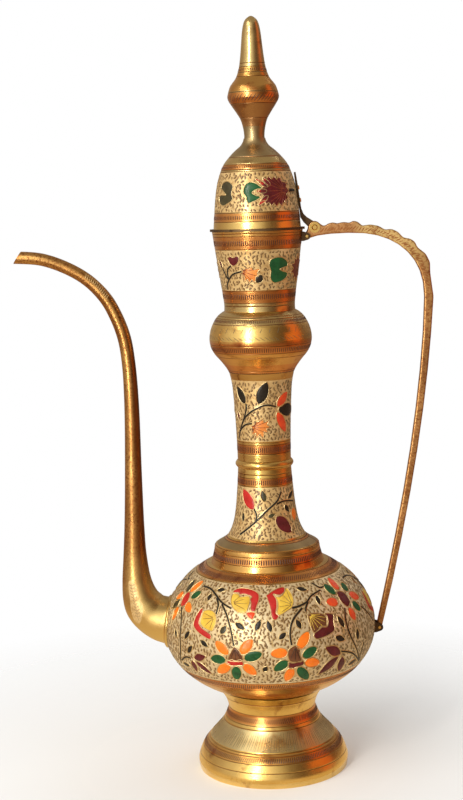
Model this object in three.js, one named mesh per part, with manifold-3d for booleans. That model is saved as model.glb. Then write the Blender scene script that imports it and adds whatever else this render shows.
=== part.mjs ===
// A tall brass ewer with a swan-neck spout, a flat cast handle and a hinged lid.
// Millimetres, +Z up. The turned pieces share one upright axis, the spout leaves towards -X
// and the handle stands towards +X.
import * as THREE from 'three';
import { mergeVertices } from 'three/addons/utils/BufferGeometryUtils.js';
import Module from 'manifold-3d';

const wasm = await Module();
wasm.setup();

// Sheet and fits
const WALL = 1.6;
const SPOUT_WALL = 1.2;
const SEAT_GAP = 0.3;
const AXIAL_GAP = 0.1;
const PIN_CLEARANCE = 0.1;
const RIVET_CROWN_SHARE = 0.7;

// Heights, from the plane that the foot stands on to the tip of the finial
const FOOT_HEIGHT = 60;
const BELLY_LOWER_HEIGHT = 58;
const BELLY_UPPER_HEIGHT = 54.5;
const BELLY_CROWN = 66.5;
const COLLAR_HEIGHT = 21.5;
const NECK_LOWER_HEIGHT = 57;
const NECK_RING_HEIGHT = 6.5;
const NECK_UPPER_HEIGHT = 71.5;
const BULB_LOWER_HEIGHT = 27;
const BULB_UPPER_HEIGHT = 22.5;
const CUP_HEIGHT = 63.5;
const FLANGE_THICKNESS = 1.8;
const DOME_HEIGHT = 70.9;
const FINIAL_HEIGHT = 95;

// Radii of the turned pieces
const FOOT_RIM_RADIUS = 61.5;
const FOOT_RIM_WIDTH = 4;
const FOOT_BEAD_RADIUS = 62.2;
const FOOT_WAIST_RADIUS = 36.2;
const FOOT_LIP_RADIUS = 43.6;
const BELLY_RADIUS = 87;
const SHOULDER_SEAT_RADIUS = 40;
const COLLAR_BASE_RADIUS = 46.3;
const COLLAR_EDGE_RADIUS = 42.4;
const NECK_BASE_RADIUS = 32.5;
const NECK_RADIUS = 21.7;
const NECK_RING_BULGE = 2;
const BULB_NECK_RADIUS = 26.4;
const BULB_RADIUS = 41.4;
const CUP_BASE_RADIUS = 28.7;
const CUP_TOP_RADIUS = 36.4;

// Lid
const FLANGE_RADIUS = 38;
const DOME_RADIUS = 35;
const DOME_TOP_RADIUS = 8.6;
const LID_COLLAR_CLEARANCE = 1.2;
const LID_COLLAR_HEIGHT = 6;
const FINIAL_NECK_RADIUS = 8.2;
const FINIAL_KNOB_RADIUS = 20.3;
const FINIAL_SPIRE_RADIUS = 9.4;
const TANG_RADIUS = 3;
const TANG_LENGTH = 5;
const NUT_RADIUS = 5.4;
const NUT_HEIGHT = 2;

// Hinge, handle and its two brackets
const HINGE_OUT = 9.3;
const HINGE_UP = 1.2;
const PIN_RADIUS = 1.6;
const PIN_HEAD_RADIUS = 2.4;
const PIN_HEAD_HEIGHT = 1.2;
const WASHER_RADIUS = 4.4;
const WASHER_THICKNESS = 0.9;
const KNUCKLE_RADIUS = 4.2;
const KNUCKLE_THICKNESS = 2.4;
const EAR_RADIUS = 5.2;
const FORK_DEPTH = 8.6;
const HANDLE_REACH = 140;
const HANDLE_THICKNESS = 6.4;
const ARM_DROP = 58;
const ARM_ROUNDNESS = 2.3;
const LEG_TOP_WIDTH = 7.2;
const LEG_END_RADIUS = 2.5;
const LEG_BOW = 8.6;
const LEG_BOW_SHIFT = 0.18;
const BRACKET_DROP = 5.6;
const BRACKET_HALF_HEIGHT = 3.8;
const LUG_DROP = 4.5;
const LUG_HALF_HEIGHT = 4.2;
const CHEEK = 1.3;
const CHEEK_SHOULDER = 1;
const BRACKET_WEB = 0.8;
const BRACKET_RIVET_RADIUS = 0.9;
const BRACKET_RIVET_HEAD = 1.6;
const BRACKET_RIVET_HEAD_HEIGHT = 0.8;
const TAIL_RADIUS = 2.3;

// Strap on the back of the lid
const STRAP_WIDTH = 9;
const STRAP_THICKNESS = 1.5;
const STRAP_FOOT_RISE = 14;
const STRAP_LENGTH = 29.5;
const STRAP_TOUCH_RISE = 32;
const STRAP_RIVET_RADIUS = 1;
const STRAP_RIVET_HEAD = 2;
const STRAP_RIVET_HEAD_HEIGHT = 0.9;
const STRAP_RIVET_BURR_SLACK = 0.6;
const STRAP_RIVET_LOWER = 7;
const STRAP_RIVET_UPPER = 17;

// Spout
const SPOUT_REACH = 196;
const SPOUT_ROOT_RISE = 6;
const SPOUT_ROOT_RADIUS = 20;
const SPOUT_HOLE_RADIUS = 12;
const SPOUT_RISER_X = 108.8;
const SPOUT_RISER_BOW = 2.4;
const SPOUT_ELBOW_HEIGHT = 56;
const SPOUT_RISER_HEIGHT = 161;
const SPOUT_BEAK_HEIGHT = 86.5;
const SPOUT_RISER_BASE_RADIUS = 9.6;
const SPOUT_RISER_TOP_RADIUS = 5.5;
const SPOUT_TIP_RADIUS = 5;
const SPOUT_MOUTH_ANGLE = 34;
const SPOUT_COLLAR_RADIUS = 22.2;
const SPOUT_COLLAR_THICKNESS = 1.4;

// Heights of the joints between the pieces
const EQUATOR_Z = FOOT_HEIGHT + BELLY_LOWER_HEIGHT;
const SHOULDER_Z = EQUATOR_Z + BELLY_UPPER_HEIGHT;
const NECK_Z = SHOULDER_Z + COLLAR_HEIGHT;
const NECK_RING_Z = NECK_Z + NECK_LOWER_HEIGHT;
const NECK_UPPER_Z = NECK_RING_Z + NECK_RING_HEIGHT;
const BULB_Z = NECK_UPPER_Z + NECK_UPPER_HEIGHT;
const BULB_SEAM_Z = BULB_Z + BULB_LOWER_HEIGHT;
const CUP_Z = BULB_SEAM_Z + BULB_UPPER_HEIGHT;
const RIM_Z = CUP_Z + CUP_HEIGHT;
const FLANGE_Z = RIM_Z + SEAT_GAP;
const DOME_Z = FLANGE_Z + FLANGE_THICKNESS;
const FINIAL_Z = DOME_Z + DOME_HEIGHT;

// Places worked out from the sizes above
const HINGE_X = CUP_TOP_RADIUS + HINGE_OUT;
const HINGE_Z = RIM_Z + HINGE_UP;
const BRACKET_Z = RIM_Z - BRACKET_DROP;
const LUG_Z = EQUATOR_Z - LUG_DROP;
const SPOUT_ROOT_Z = EQUATOR_Z + SPOUT_ROOT_RISE;
const SPOUT_TIP_Z = SPOUT_ROOT_Z + SPOUT_ELBOW_HEIGHT + SPOUT_RISER_HEIGHT + SPOUT_BEAK_HEIGHT;
const HANDLE_HALF = HANDLE_THICKNESS / 2;
const SLOT_HALF = KNUCKLE_THICKNESS / 2 + SEAT_GAP;

// Fineness of the facets
const WIDE_SEGMENTS = 32;
const NECK_SEGMENTS = 24;
const FINIAL_SEGMENTS = 20;
const ROD_SEGMENTS = 12;
const FOOT_STEPS = 11;
const LOWER_BELLY_STEPS = 9;
const UPPER_BELLY_STEPS = 8;
const COLLAR_STEPS = 3;
const NECK_STEPS = 7;
const NECK_RING_STEPS = 4;
const BULB_STEPS = 6;
const CUP_STEPS = 6;
const DOME_STEPS = 12;
const FINIAL_STEPS = 19;
const ARM_STEPS = 9;
const LEG_STEPS = 8;
const HUMP_STEPS = 3;
const SPOUT_SIDES = 12;
const SPOUT_STEPS = 32;

const mix = THREE.MathUtils.lerp;
const at = (x, y) => new THREE.Vector2(x, y);

// Outlines

// Points of a curve drawn through a few chosen points.
function curveThrough(points, steps) {
  return new THREE.SplineCurve(points).getPoints(steps);
}

// An outline between two radii. Each pair of shares gives a height and how far the radius has
// gone from the first to the second.
function outlineBetween(fromRadius, toRadius, base, height, shares, steps) {
  const points = shares.map(([up, across]) => at(mix(fromRadius, toRadius, across), base + height * up));
  return curveThrough(points, steps);
}

function arcPoints(centre, radius, startDegrees, endDegrees, steps) {
  const points = [];
  for (let i = 0; i <= steps; i += 1) {
    const angle = THREE.MathUtils.degToRad(mix(startDegrees, endDegrees, i / steps));
    points.push(at(centre.x + radius * Math.cos(angle), centre.y + radius * Math.sin(angle)));
  }
  return points;
}

// A quadratic curve without its first point.
function bendTo(start, control, end, steps) {
  return new THREE.QuadraticBezierCurve(start, control, end).getPoints(steps).slice(1);
}

function bellyRadiusAt(z) {
  const semiHeight = z < EQUATOR_Z ? BELLY_LOWER_HEIGHT : BELLY_CROWN;
  const level = Math.min(Math.abs(z - EQUATOR_Z) / semiHeight, 1);
  return BELLY_RADIUS * Math.sqrt(1 - level * level);
}

// The lower half of the belly's ellipse, from the axis to the widest circle.
function lowerBellyOutline(growth, steps) {
  const points = [];
  for (let i = 0; i <= steps; i += 1) {
    const angle = (Math.PI / 2) * (i / steps);
    const radius = (BELLY_RADIUS + growth) * Math.sin(angle);
    points.push(at(radius, EQUATOR_Z - (BELLY_LOWER_HEIGHT + growth) * Math.cos(angle)));
  }
  points[0].x = 0;
  return points;
}

// The upper half of the belly's ellipse, from the widest circle to the given height.
function upperBellyOutline(growth, topZ, steps) {
  const semiHeight = BELLY_CROWN + growth;
  const topAngle = Math.asin(Math.min((topZ - EQUATOR_Z) / semiHeight, 1));
  const points = [];
  for (let i = 0; i <= steps; i += 1) {
    const angle = topAngle * (i / steps);
    const radius = (BELLY_RADIUS + growth) * Math.cos(angle);
    points.push(at(radius, EQUATOR_Z + semiHeight * Math.sin(angle)));
  }
  return points;
}

const footLipRadius = FOOT_LIP_RADIUS - WALL - SEAT_GAP;
const footLipLevel = Math.sqrt(1 - (footLipRadius / BELLY_RADIUS) ** 2);
const FOOT_LIP_Z = EQUATOR_Z - BELLY_LOWER_HEIGHT * footLipLevel;

function footOutline() {
  const flare = [[0.1, 0], [0.2, 0.054], [0.33, 0.2], [0.47, 0.47], [0.6, 0.74], [0.73, 0.92], [0.9, 1]];
  const points = flare.map(([up, across]) => (
    at(mix(FOOT_BEAD_RADIUS, FOOT_WAIST_RADIUS, across), FOOT_HEIGHT * up)
  ));
  points.push(at(FOOT_LIP_RADIUS, FOOT_LIP_Z));
  return [at(FOOT_RIM_RADIUS, 0), ...curveThrough(points, FOOT_STEPS)];
}

function collarOutline() {
  const wall = [[0, 0], [0.2, 0.32], [0.42, 0.68], [0.6, 0.82], [0.7, 1]];
  const points = wall.map(([up, across]) => (
    at(mix(COLLAR_BASE_RADIUS, COLLAR_EDGE_RADIUS, across), SHOULDER_Z + COLLAR_HEIGHT * up)
  ));
  const slope = bendTo(
    points[points.length - 1],
    at(mix(COLLAR_EDGE_RADIUS, NECK_BASE_RADIUS, 0.75), SHOULDER_Z + COLLAR_HEIGHT * 0.9),
    at(NECK_BASE_RADIUS, NECK_Z),
    COLLAR_STEPS,
  );
  return [...points, ...slope];
}

function neckLowerOutline() {
  const shares = [[0, 0], [0.105, 0.34], [0.316, 0.66], [0.667, 0.88], [1, 1]];
  return outlineBetween(NECK_BASE_RADIUS, NECK_RADIUS, NECK_Z, NECK_LOWER_HEIGHT, shares, NECK_STEPS);
}

function neckRingOutline() {
  const points = [];
  for (let i = 0; i <= NECK_RING_STEPS; i += 1) {
    const share = i / NECK_RING_STEPS;
    const radius = NECK_RADIUS + NECK_RING_BULGE * Math.sin(Math.PI * share);
    points.push(at(radius, NECK_RING_Z + NECK_RING_HEIGHT * share));
  }
  return points;
}

function neckUpperOutline() {
  const shares = [[0, 0], [0.37, 0.11], [0.762, 0.42], [0.9, 0.65], [1, 1]];
  return outlineBetween(
    NECK_RADIUS,
    BULB_NECK_RADIUS,
    NECK_UPPER_Z,
    NECK_UPPER_HEIGHT,
    shares,
    NECK_STEPS,
  );
}

function bulbLowerOutline() {
  const shares = [[0, 0], [0.26, 0.29], [0.556, 0.74], [0.8, 0.95], [1, 1]];
  return outlineBetween(BULB_NECK_RADIUS, BULB_RADIUS, BULB_Z, BULB_LOWER_HEIGHT, shares, BULB_STEPS);
}

function bulbUpperOutline() {
  const shares = [[0, 0], [0.36, 0.1], [0.71, 0.41], [0.89, 0.69], [1, 1]];
  return outlineBetween(
    BULB_RADIUS,
    CUP_BASE_RADIUS,
    BULB_SEAM_Z,
    BULB_UPPER_HEIGHT,
    shares,
    BULB_STEPS,
  );
}

function cupOutline() {
  const shares = [[0, 0], [0.12, 0], [0.528, 0.455], [1, 1]];
  return outlineBetween(CUP_BASE_RADIUS, CUP_TOP_RADIUS, CUP_Z, CUP_HEIGHT, shares, CUP_STEPS);
}

function domeOutline() {
  const shares = [
    [0, 0], [0.2, 0.045], [0.45, 0.125], [0.62, 0.25], [0.73, 0.39], [0.845, 0.66], [0.93, 0.92], [1, 1],
  ];
  return outlineBetween(DOME_RADIUS, DOME_TOP_RADIUS, DOME_Z, DOME_HEIGHT, shares, DOME_STEPS);
}

// The finial's outline from the end of its tang up over its knob and spire.
function finialOutline() {
  const knob = [[0.04, 0], [0.137, 0.14], [0.221, 0.5], [0.305, 0.925], [0.353, 1]];
  const spire = [[0.432, 0.21], [0.474, 0.5], [0.516, 0.71], [0.6, 0.92], [0.726, 1.06], [0.853, 1.17]];
  const tip = [[0.937, 0.36], [0.979, 0.6], [1, 1]];
  const stretch = (from, to, shares) => shares.map(([up, across]) => (
    at(mix(from, to, across), FINIAL_Z + FINIAL_HEIGHT * up)
  ));
  const points = [
    at(FINIAL_NECK_RADIUS, FINIAL_Z),
    ...stretch(FINIAL_NECK_RADIUS, FINIAL_KNOB_RADIUS, knob),
    ...stretch(FINIAL_KNOB_RADIUS, FINIAL_SPIRE_RADIUS, spire),
    ...stretch(FINIAL_SPIRE_RADIUS, 0, tip),
  ];
  const outside = curveThrough(points, FINIAL_STEPS);
  outside[outside.length - 1].x = 0;
  const tangEnd = FINIAL_Z - TANG_LENGTH;
  return [at(0, tangEnd), at(TANG_RADIUS, tangEnd), at(TANG_RADIUS, FINIAL_Z), ...outside];
}

// The radius of an outline at a height, between its points.
function radiusOn(outline, z) {
  for (let i = 1; i < outline.length; i += 1) {
    const below = outline[i - 1];
    const above = outline[i];
    if (z >= below.y && z <= above.y) {
      return mix(below.x, above.x, (z - below.y) / (above.y - below.y));
    }
  }
  return outline[outline.length - 1].x;
}

// Solids

// Revolves a section about the upright axis.
function turned(section, segments) {
  const geometry = new THREE.LatheGeometry(section, segments);
  geometry.rotateX(Math.PI / 2);
  return geometry;
}

// Sets an outline in by the wall. Its ends stay level with the outline's ends.
function setIn(outline, wall) {
  const last = outline.length - 1;
  const inner = outline.map((point, i) => {
    const along = outline[Math.min(i + 1, last)].clone().sub(outline[Math.max(i - 1, 0)]).normalize();
    return at(point.x - along.y * wall, point.y + along.x * wall);
  });
  if (outline[0].x > 0) {
    inner[0] = at(outline[0].x - wall, outline[0].y);
  } else {
    inner[0].x = 0;
  }
  inner[last] = at(outline[last].x - wall, outline[last].y);
  return inner;
}

// A spun shell. A top or bottom radius turns that edge inwards as a flat ring of the same sheet.
// The inside keeps every second point of the outline.
function shell(outline, segments, { topRadius = null, bottomRadius = null } = {}) {
  const inner = setIn(outline, WALL).filter((point, i, all) => i % 2 === 0 || i === all.length - 1);
  const section = [...outline];
  if (topRadius !== null) {
    const edge = outline[outline.length - 1];
    section.push(at(topRadius, edge.y), at(topRadius, edge.y - WALL));
    inner[inner.length - 1].y = edge.y - WALL;
  }
  if (bottomRadius !== null) {
    const edge = outline[0];
    inner[0].y = edge.y + WALL;
    inner.unshift(at(bottomRadius, edge.y), at(bottomRadius, edge.y + WALL));
  }
  section.push(...inner.reverse());
  if (outline[0].x > 0) {
    section.push(section[0].clone());
  }
  return turned(section, segments);
}

function ring(innerRadius, outerRadius, base, height, segments) {
  const section = [
    at(innerRadius, base),
    at(outerRadius, base),
    at(outerRadius, base + height),
    at(innerRadius, base + height),
    at(innerRadius, base),
  ];
  return turned(section, segments);
}

// A flat plate from an outline in the plane of the handle, centred on that plane.
function plate(points, thickness) {
  const geometry = new THREE.ExtrudeGeometry(new THREE.Shape(points), {
    depth: thickness,
    bevelEnabled: false,
  });
  geometry.rotateX(Math.PI / 2);
  geometry.translate(0, thickness / 2, 0);
  return geometry;
}

// A rod with its axis along Y, through a point of the handle's plane.
function crossRod(centre, radius, length) {
  const geometry = new THREE.CylinderGeometry(radius, radius, length, ROD_SEGMENTS);
  geometry.translate(centre.x, 0, centre.y);
  return geometry;
}

// A rivet along Y with two round heads, drawn down over whatever it holds.
function crossRivet(centre, radius, gripHalf, headRadius, headHeight) {
  const headTop = gripHalf + headHeight;
  const section = [
    at(0, -headTop),
    at(headRadius * RIVET_CROWN_SHARE, -headTop),
    at(headRadius, -gripHalf),
    at(radius, -gripHalf),
    at(radius, gripHalf),
    at(headRadius, gripHalf),
    at(headRadius * RIVET_CROWN_SHARE, headTop),
    at(0, headTop),
  ];
  const geometry = new THREE.LatheGeometry(section, ROD_SEGMENTS);
  geometry.translate(centre.x, 0, centre.y);
  return geometry;
}

function box(low, high) {
  const size = high.clone().sub(low);
  const geometry = new THREE.BoxGeometry(size.x, size.y, size.z);
  const middle = low.clone().add(high).multiplyScalar(0.5);
  geometry.translate(middle.x, middle.y, middle.z);
  return geometry;
}

// Solid of a closed geometry, for cutting and joining.
function solid(geometry) {
  const bare = geometry.clone();
  bare.deleteAttribute('normal');
  bare.deleteAttribute('uv');
  const merged = mergeVertices(bare, 1e-5);
  return new wasm.Manifold(new wasm.Mesh({
    numProp: 3,
    vertProperties: merged.attributes.position.array,
    triVerts: new Uint32Array(merged.index.array),
  }));
}

function geometryOf(manifold) {
  const mesh = manifold.getMesh();
  const geometry = new THREE.BufferGeometry();
  geometry.setAttribute('position', new THREE.BufferAttribute(new Float32Array(mesh.vertProperties), 3));
  geometry.setIndex(new THREE.BufferAttribute(new Uint32Array(mesh.triVerts), 1));
  geometry.computeVertexNormals();
  return geometry;
}

// The belly as one full body, grown by a gap all round.
function bellyBody(growth) {
  const upper = upperBellyOutline(growth, SHOULDER_Z, UPPER_BELLY_STEPS).slice(1);
  const section = [...lowerBellyOutline(growth, LOWER_BELLY_STEPS), ...upper, at(0, SHOULDER_Z)];
  return solid(turned(section, WIDE_SEGMENTS));
}

// Body

// A rod at the spout's root, from the axis out past the wall of the belly.
function spoutRod(radius) {
  const length = 1.5 * BELLY_RADIUS;
  const geometry = new THREE.CylinderGeometry(radius, radius, length, WIDE_SEGMENTS);
  geometry.rotateZ(Math.PI / 2);
  geometry.translate(-length / 2, 0, SPOUT_ROOT_Z);
  return solid(geometry);
}

function footGeometry() {
  return shell(footOutline(), WIDE_SEGMENTS, { bottomRadius: FOOT_RIM_RADIUS - FOOT_RIM_WIDTH });
}

function bellyLowerGeometry() {
  const half = solid(shell(lowerBellyOutline(0, LOWER_BELLY_STEPS), WIDE_SEGMENTS));
  return geometryOf(half.subtract(spoutRod(SPOUT_HOLE_RADIUS)));
}

function bellyUpperGeometry() {
  const outline = upperBellyOutline(0, SHOULDER_Z, UPPER_BELLY_STEPS);
  const half = solid(shell(outline, WIDE_SEGMENTS, { topRadius: SHOULDER_SEAT_RADIUS }));
  return geometryOf(half.subtract(spoutRod(SPOUT_HOLE_RADIUS)));
}

// Spout

// The centre line of the spout with the outer radius at each point: elbow, riser and beak.
function spoutStations() {
  const elbow = [
    [-0.32, 0, 0], [0.08, 0.04, 0.11], [0.48, 0.135, 0.26], [0.73, 0.257, 0.35], [0.87, 0.393, 0.52],
    [0.97, 0.616, 0.76], [1, 1, 1],
  ];
  const riser = [[0.139, 0.17, 0.32], [0.42, 0.6, 0.64], [0.8, 1, 0.89], [1, 0.5, 1]];
  const beak = [[0.017, 0.223], [0.087, 0.43], [0.182, 0.605], [0.374, 0.797], [0.714, 0.96], [1.05, 1]];
  const elbowTop = SPOUT_ROOT_Z + SPOUT_ELBOW_HEIGHT;
  const riserTop = elbowTop + SPOUT_RISER_HEIGHT;
  const stations = elbow.map(([out, up, thin]) => ({
    x: -mix(BELLY_RADIUS, SPOUT_RISER_X, out),
    z: mix(SPOUT_ROOT_Z, elbowTop, up),
    radius: mix(SPOUT_ROOT_RADIUS, SPOUT_RISER_BASE_RADIUS, thin),
  }));
  riser.forEach(([up, bow, thin]) => stations.push({
    x: -SPOUT_RISER_X + SPOUT_RISER_BOW * bow,
    z: mix(elbowTop, riserTop, up),
    radius: mix(SPOUT_RISER_BASE_RADIUS, SPOUT_RISER_TOP_RADIUS, thin),
  }));
  beak.forEach(([out, up]) => stations.push({
    x: -mix(SPOUT_RISER_X, SPOUT_REACH, out),
    z: riserTop + SPOUT_BEAK_HEIGHT * up,
    radius: mix(SPOUT_RISER_TOP_RADIUS, SPOUT_TIP_RADIUS, Math.min(out * 3, 1)),
  }));
  return stations;
}

// Rings of points square to the spout's centre line, set in or out from its outer surface.
function spoutRings(growth) {
  const stations = spoutStations();
  const centres = stations.map((station) => new THREE.Vector3(station.x, 0, station.z));
  const path = new THREE.CatmullRomCurve3(centres, false, 'centripetal');
  const last = stations.length - 1;
  const rings = [];
  for (let i = 0; i <= SPOUT_STEPS; i += 1) {
    const t = i / SPOUT_STEPS;
    const centre = path.getPoint(t);
    const tangent = path.getTangent(t);
    const index = Math.min(Math.floor(t * last), last - 1);
    const radius = mix(stations[index].radius, stations[index + 1].radius, t * last - index) + growth;
    const ringPoints = [];
    for (let k = 0; k < SPOUT_SIDES; k += 1) {
      const angle = (2 * Math.PI * k) / SPOUT_SIDES;
      const side = radius * Math.cos(angle);
      ringPoints.push([centre.x - tangent.z * side, radius * Math.sin(angle), centre.z + tangent.x * side]);
    }
    rings.push(ringPoints);
  }
  return rings;
}

// A closed body through rings of points. Its first and last ring are joined for a tube wall, or
// else each gets a flat end.
function ringBody(rings, joinedEnds) {
  const sides = rings[0].length;
  const positions = rings.flat(2);
  const index = [];
  const spans = joinedEnds ? rings.length : rings.length - 1;
  for (let i = 0; i < spans; i += 1) {
    const here = i * sides;
    const next = ((i + 1) % rings.length) * sides;
    for (let k = 0; k < sides; k += 1) {
      const beside = (k + 1) % sides;
      index.push(here + k, next + k, here + beside);
      index.push(here + beside, next + k, next + beside);
    }
  }
  if (!joinedEnds) {
    const lastRing = (rings.length - 1) * sides;
    for (let k = 1; k < sides - 1; k += 1) {
      index.push(0, k, k + 1);
      index.push(lastRing, lastRing + k + 1, lastRing + k);
    }
  }
  const geometry = new THREE.BufferGeometry();
  geometry.setAttribute('position', new THREE.Float32BufferAttribute(positions, 3));
  geometry.setIndex(index);
  return geometry;
}

// A block that takes the end off the beak on a slant, so that the lower lip reaches furthest.
function mouthCutter() {
  const size = 12 * SPOUT_TIP_RADIUS;
  const geometry = new THREE.BoxGeometry(size, size, size);
  geometry.translate(-size / 2, 0, 0);
  geometry.rotateY(THREE.MathUtils.degToRad(90 - SPOUT_MOUTH_ANGLE));
  geometry.translate(-SPOUT_REACH, 0, SPOUT_TIP_Z - SPOUT_TIP_RADIUS);
  return solid(geometry);
}

function spoutGeometry() {
  const wall = [...spoutRings(0), ...spoutRings(-SPOUT_WALL).reverse()];
  const tube = solid(ringBody(wall, true));
  return geometryOf(tube.subtract(bellyBody(SEAT_GAP)).subtract(mouthCutter()));
}

function spoutCollarGeometry() {
  const skin = bellyBody(SEAT_GAP + SPOUT_COLLAR_THICKNESS).subtract(bellyBody(SEAT_GAP));
  const disc = skin.intersect(spoutRod(SPOUT_COLLAR_RADIUS));
  return geometryOf(disc.subtract(solid(ringBody(spoutRings(SEAT_GAP), false))));
}

// Handle and brackets

const cupLine = cupOutline();
const bracketWallX = radiusOn(cupLine, BRACKET_Z);
const bracketRivet = at(bracketWallX + 2 * SEAT_GAP + BRACKET_WEB + TAIL_RADIUS, BRACKET_Z);
const lugRivet = at(bellyRadiusAt(LUG_Z) + 2 * SEAT_GAP + BRACKET_WEB + LEG_END_RADIUS, LUG_Z);
const hinge = at(HINGE_X, HINGE_Z);

// A point of the arm: shares of the way out from the hinge to the knee, and of the way down.
function armPoint(out, down) {
  return at(mix(HINGE_X, HANDLE_REACH, out), HINGE_Z - ARM_DROP * down);
}

// The smooth underside of the arm, from the tail to the inner side of the knee.
function armUnderside() {
  const points = [armPoint(0.02, 0.116), armPoint(0.13, 0.097)];
  const crown = armPoint(0.28, 0.092);
  const kneeX = HANDLE_REACH - LEG_TOP_WIDTH;
  const kneeZ = HINGE_Z - ARM_DROP;
  const power = 2 / ARM_ROUNDNESS;
  for (let i = 0; i <= ARM_STEPS; i += 1) {
    const angle = (Math.PI / 2) * (i / ARM_STEPS);
    const x = crown.x + (kneeX - crown.x) * Math.sin(angle) ** power;
    points.push(at(x, kneeZ + (crown.y - kneeZ) * Math.max(Math.cos(angle), 0) ** power));
  }
  return points;
}

// One edge of the leg from knee to lug: side +1 is the outer edge, side -1 the inner one.
function legEdge(side) {
  const top = at(HANDLE_REACH - LEG_TOP_WIDTH / 2, HINGE_Z - ARM_DROP);
  const middle = top.clone().add(lugRivet).multiplyScalar(0.5);
  const control = at(middle.x + 2 * LEG_BOW, middle.y + LEG_BOW_SHIFT * (top.y - middle.y));
  const line = new THREE.QuadraticBezierCurve(top, control, lugRivet);
  const points = [];
  for (let i = 0; i <= LEG_STEPS; i += 1) {
    const share = i / LEG_STEPS;
    const half = mix(LEG_TOP_WIDTH / 2, LEG_END_RADIUS, Math.sqrt(share));
    const along = line.getTangent(share);
    const centre = line.getPoint(share);
    points.push(at(centre.x - side * along.y * half, centre.y + side * along.x * half));
  }
  return points;
}

// The scalloped top edge, from the outer side of the knee back to the hinge.
function scallops() {
  const start = at(HANDLE_REACH, HINGE_Z - ARM_DROP);
  const humps = [
    { control: [0.985, 0.82], notch: [0.975, 0.67] },
    { control: [1, 0.44], notch: [0.869, 0.32] },
    { control: [0.857, 0.19], notch: [0.751, 0.18] },
    { control: [0.685, 0.02], notch: [0.599, 0.065] },
    { control: [0.522, -0.045], notch: [0.405, 0] },
    { control: [0.346, -0.12], notch: [0.298, -0.043] },
    { control: [0.259, -0.075], notch: [0.193, -0.041] },
    { control: [0.155, -0.09], notch: [0.083, -0.012] },
  ];
  const points = [];
  let from = start;
  humps.forEach(({ control, notch }) => {
    const to = armPoint(...notch);
    points.push(...bendTo(from, armPoint(...control), to, HUMP_STEPS));
    from = to;
  });
  return points;
}

function handleGeometry() {
  const outline = [
    ...arcPoints(bracketRivet, TAIL_RADIUS, 180, 270, 3),
    ...armUnderside(),
    ...legEdge(-1).slice(1, -1),
    ...arcPoints(lugRivet, LEG_END_RADIUS, 195, 375, 6),
    ...legEdge(1).slice(0, -1).reverse(),
    ...scallops(),
    ...arcPoints(hinge, EAR_RADIUS, 30, 190, 8),
  ];
  const blank = solid(plate(outline, HANDLE_THICKNESS));
  const slotFloor = HINGE_Z - KNUCKLE_RADIUS - SEAT_GAP;
  const slot = solid(box(
    new THREE.Vector3(HINGE_X - 2 * EAR_RADIUS, -SLOT_HALF, slotFloor),
    new THREE.Vector3(HINGE_X + FORK_DEPTH, SLOT_HALF, HINGE_Z + 2 * EAR_RADIUS),
  ));
  const pinHole = solid(crossRod(hinge, PIN_RADIUS + PIN_CLEARANCE, HANDLE_THICKNESS * 2));
  const rivetRadius = BRACKET_RIVET_RADIUS + PIN_CLEARANCE;
  const tailHole = solid(crossRod(bracketRivet, rivetRadius, HANDLE_THICKNESS * 2));
  const endHole = solid(crossRod(lugRivet, rivetRadius, HANDLE_THICKNESS * 2));
  return geometryOf(blank.subtract(slot).subtract(pinHole).subtract(tailHole).subtract(endHole));
}

// A small clevis on the wall of the vessel: two cheeks with a web between them at the wall.
function clevisGeometry(rivet, wallX, halfHeight, endRadius, wallBody) {
  const inside = wallX - WALL;
  const outline = [
    at(inside, rivet.y - halfHeight),
    at(wallX + CHEEK_SHOULDER, rivet.y - halfHeight),
    ...arcPoints(rivet, endRadius + CHEEK / 2, -70, 70, 6),
    at(wallX + CHEEK_SHOULDER, rivet.y + halfHeight),
    at(inside, rivet.y + halfHeight),
  ];
  const slotHalf = HANDLE_HALF + SEAT_GAP;
  const blank = solid(plate(outline, 2 * (slotHalf + CHEEK)));
  const reach = 4 * endRadius + halfHeight;
  const slot = solid(box(
    new THREE.Vector3(wallX + SEAT_GAP + BRACKET_WEB, -slotHalf, rivet.y - reach),
    new THREE.Vector3(rivet.x + reach, slotHalf, rivet.y + reach),
  ));
  const hole = solid(crossRod(rivet, BRACKET_RIVET_RADIUS + PIN_CLEARANCE, 4 * (slotHalf + CHEEK)));
  return geometryOf(blank.subtract(slot).subtract(hole).subtract(wallBody));
}

// The mouth cup as a full body, grown by the seat gap.
function cupBody() {
  const outline = cupOutline().map((point) => at(point.x + SEAT_GAP, point.y));
  const section = [at(0, CUP_Z), ...outline, at(0, RIM_Z)];
  return solid(turned(section, NECK_SEGMENTS));
}

function bracketGeometry() {
  return clevisGeometry(bracketRivet, bracketWallX, BRACKET_HALF_HEIGHT, TAIL_RADIUS, cupBody());
}

function lugGeometry() {
  const wallX = bellyRadiusAt(LUG_Z);
  return clevisGeometry(lugRivet, wallX, LUG_HALF_HEIGHT, LEG_END_RADIUS, bellyBody(SEAT_GAP));
}

function clevisRivet(rivet) {
  const grip = HANDLE_HALF + SEAT_GAP + CHEEK + AXIAL_GAP;
  return crossRivet(rivet, BRACKET_RIVET_RADIUS, grip, BRACKET_RIVET_HEAD, BRACKET_RIVET_HEAD_HEIGHT);
}

// Hinge

function hingePinGeometry() {
  const grip = HANDLE_HALF + WASHER_THICKNESS + 2 * AXIAL_GAP;
  return crossRivet(hinge, PIN_RADIUS, grip, PIN_HEAD_RADIUS, PIN_HEAD_HEIGHT);
}

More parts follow.
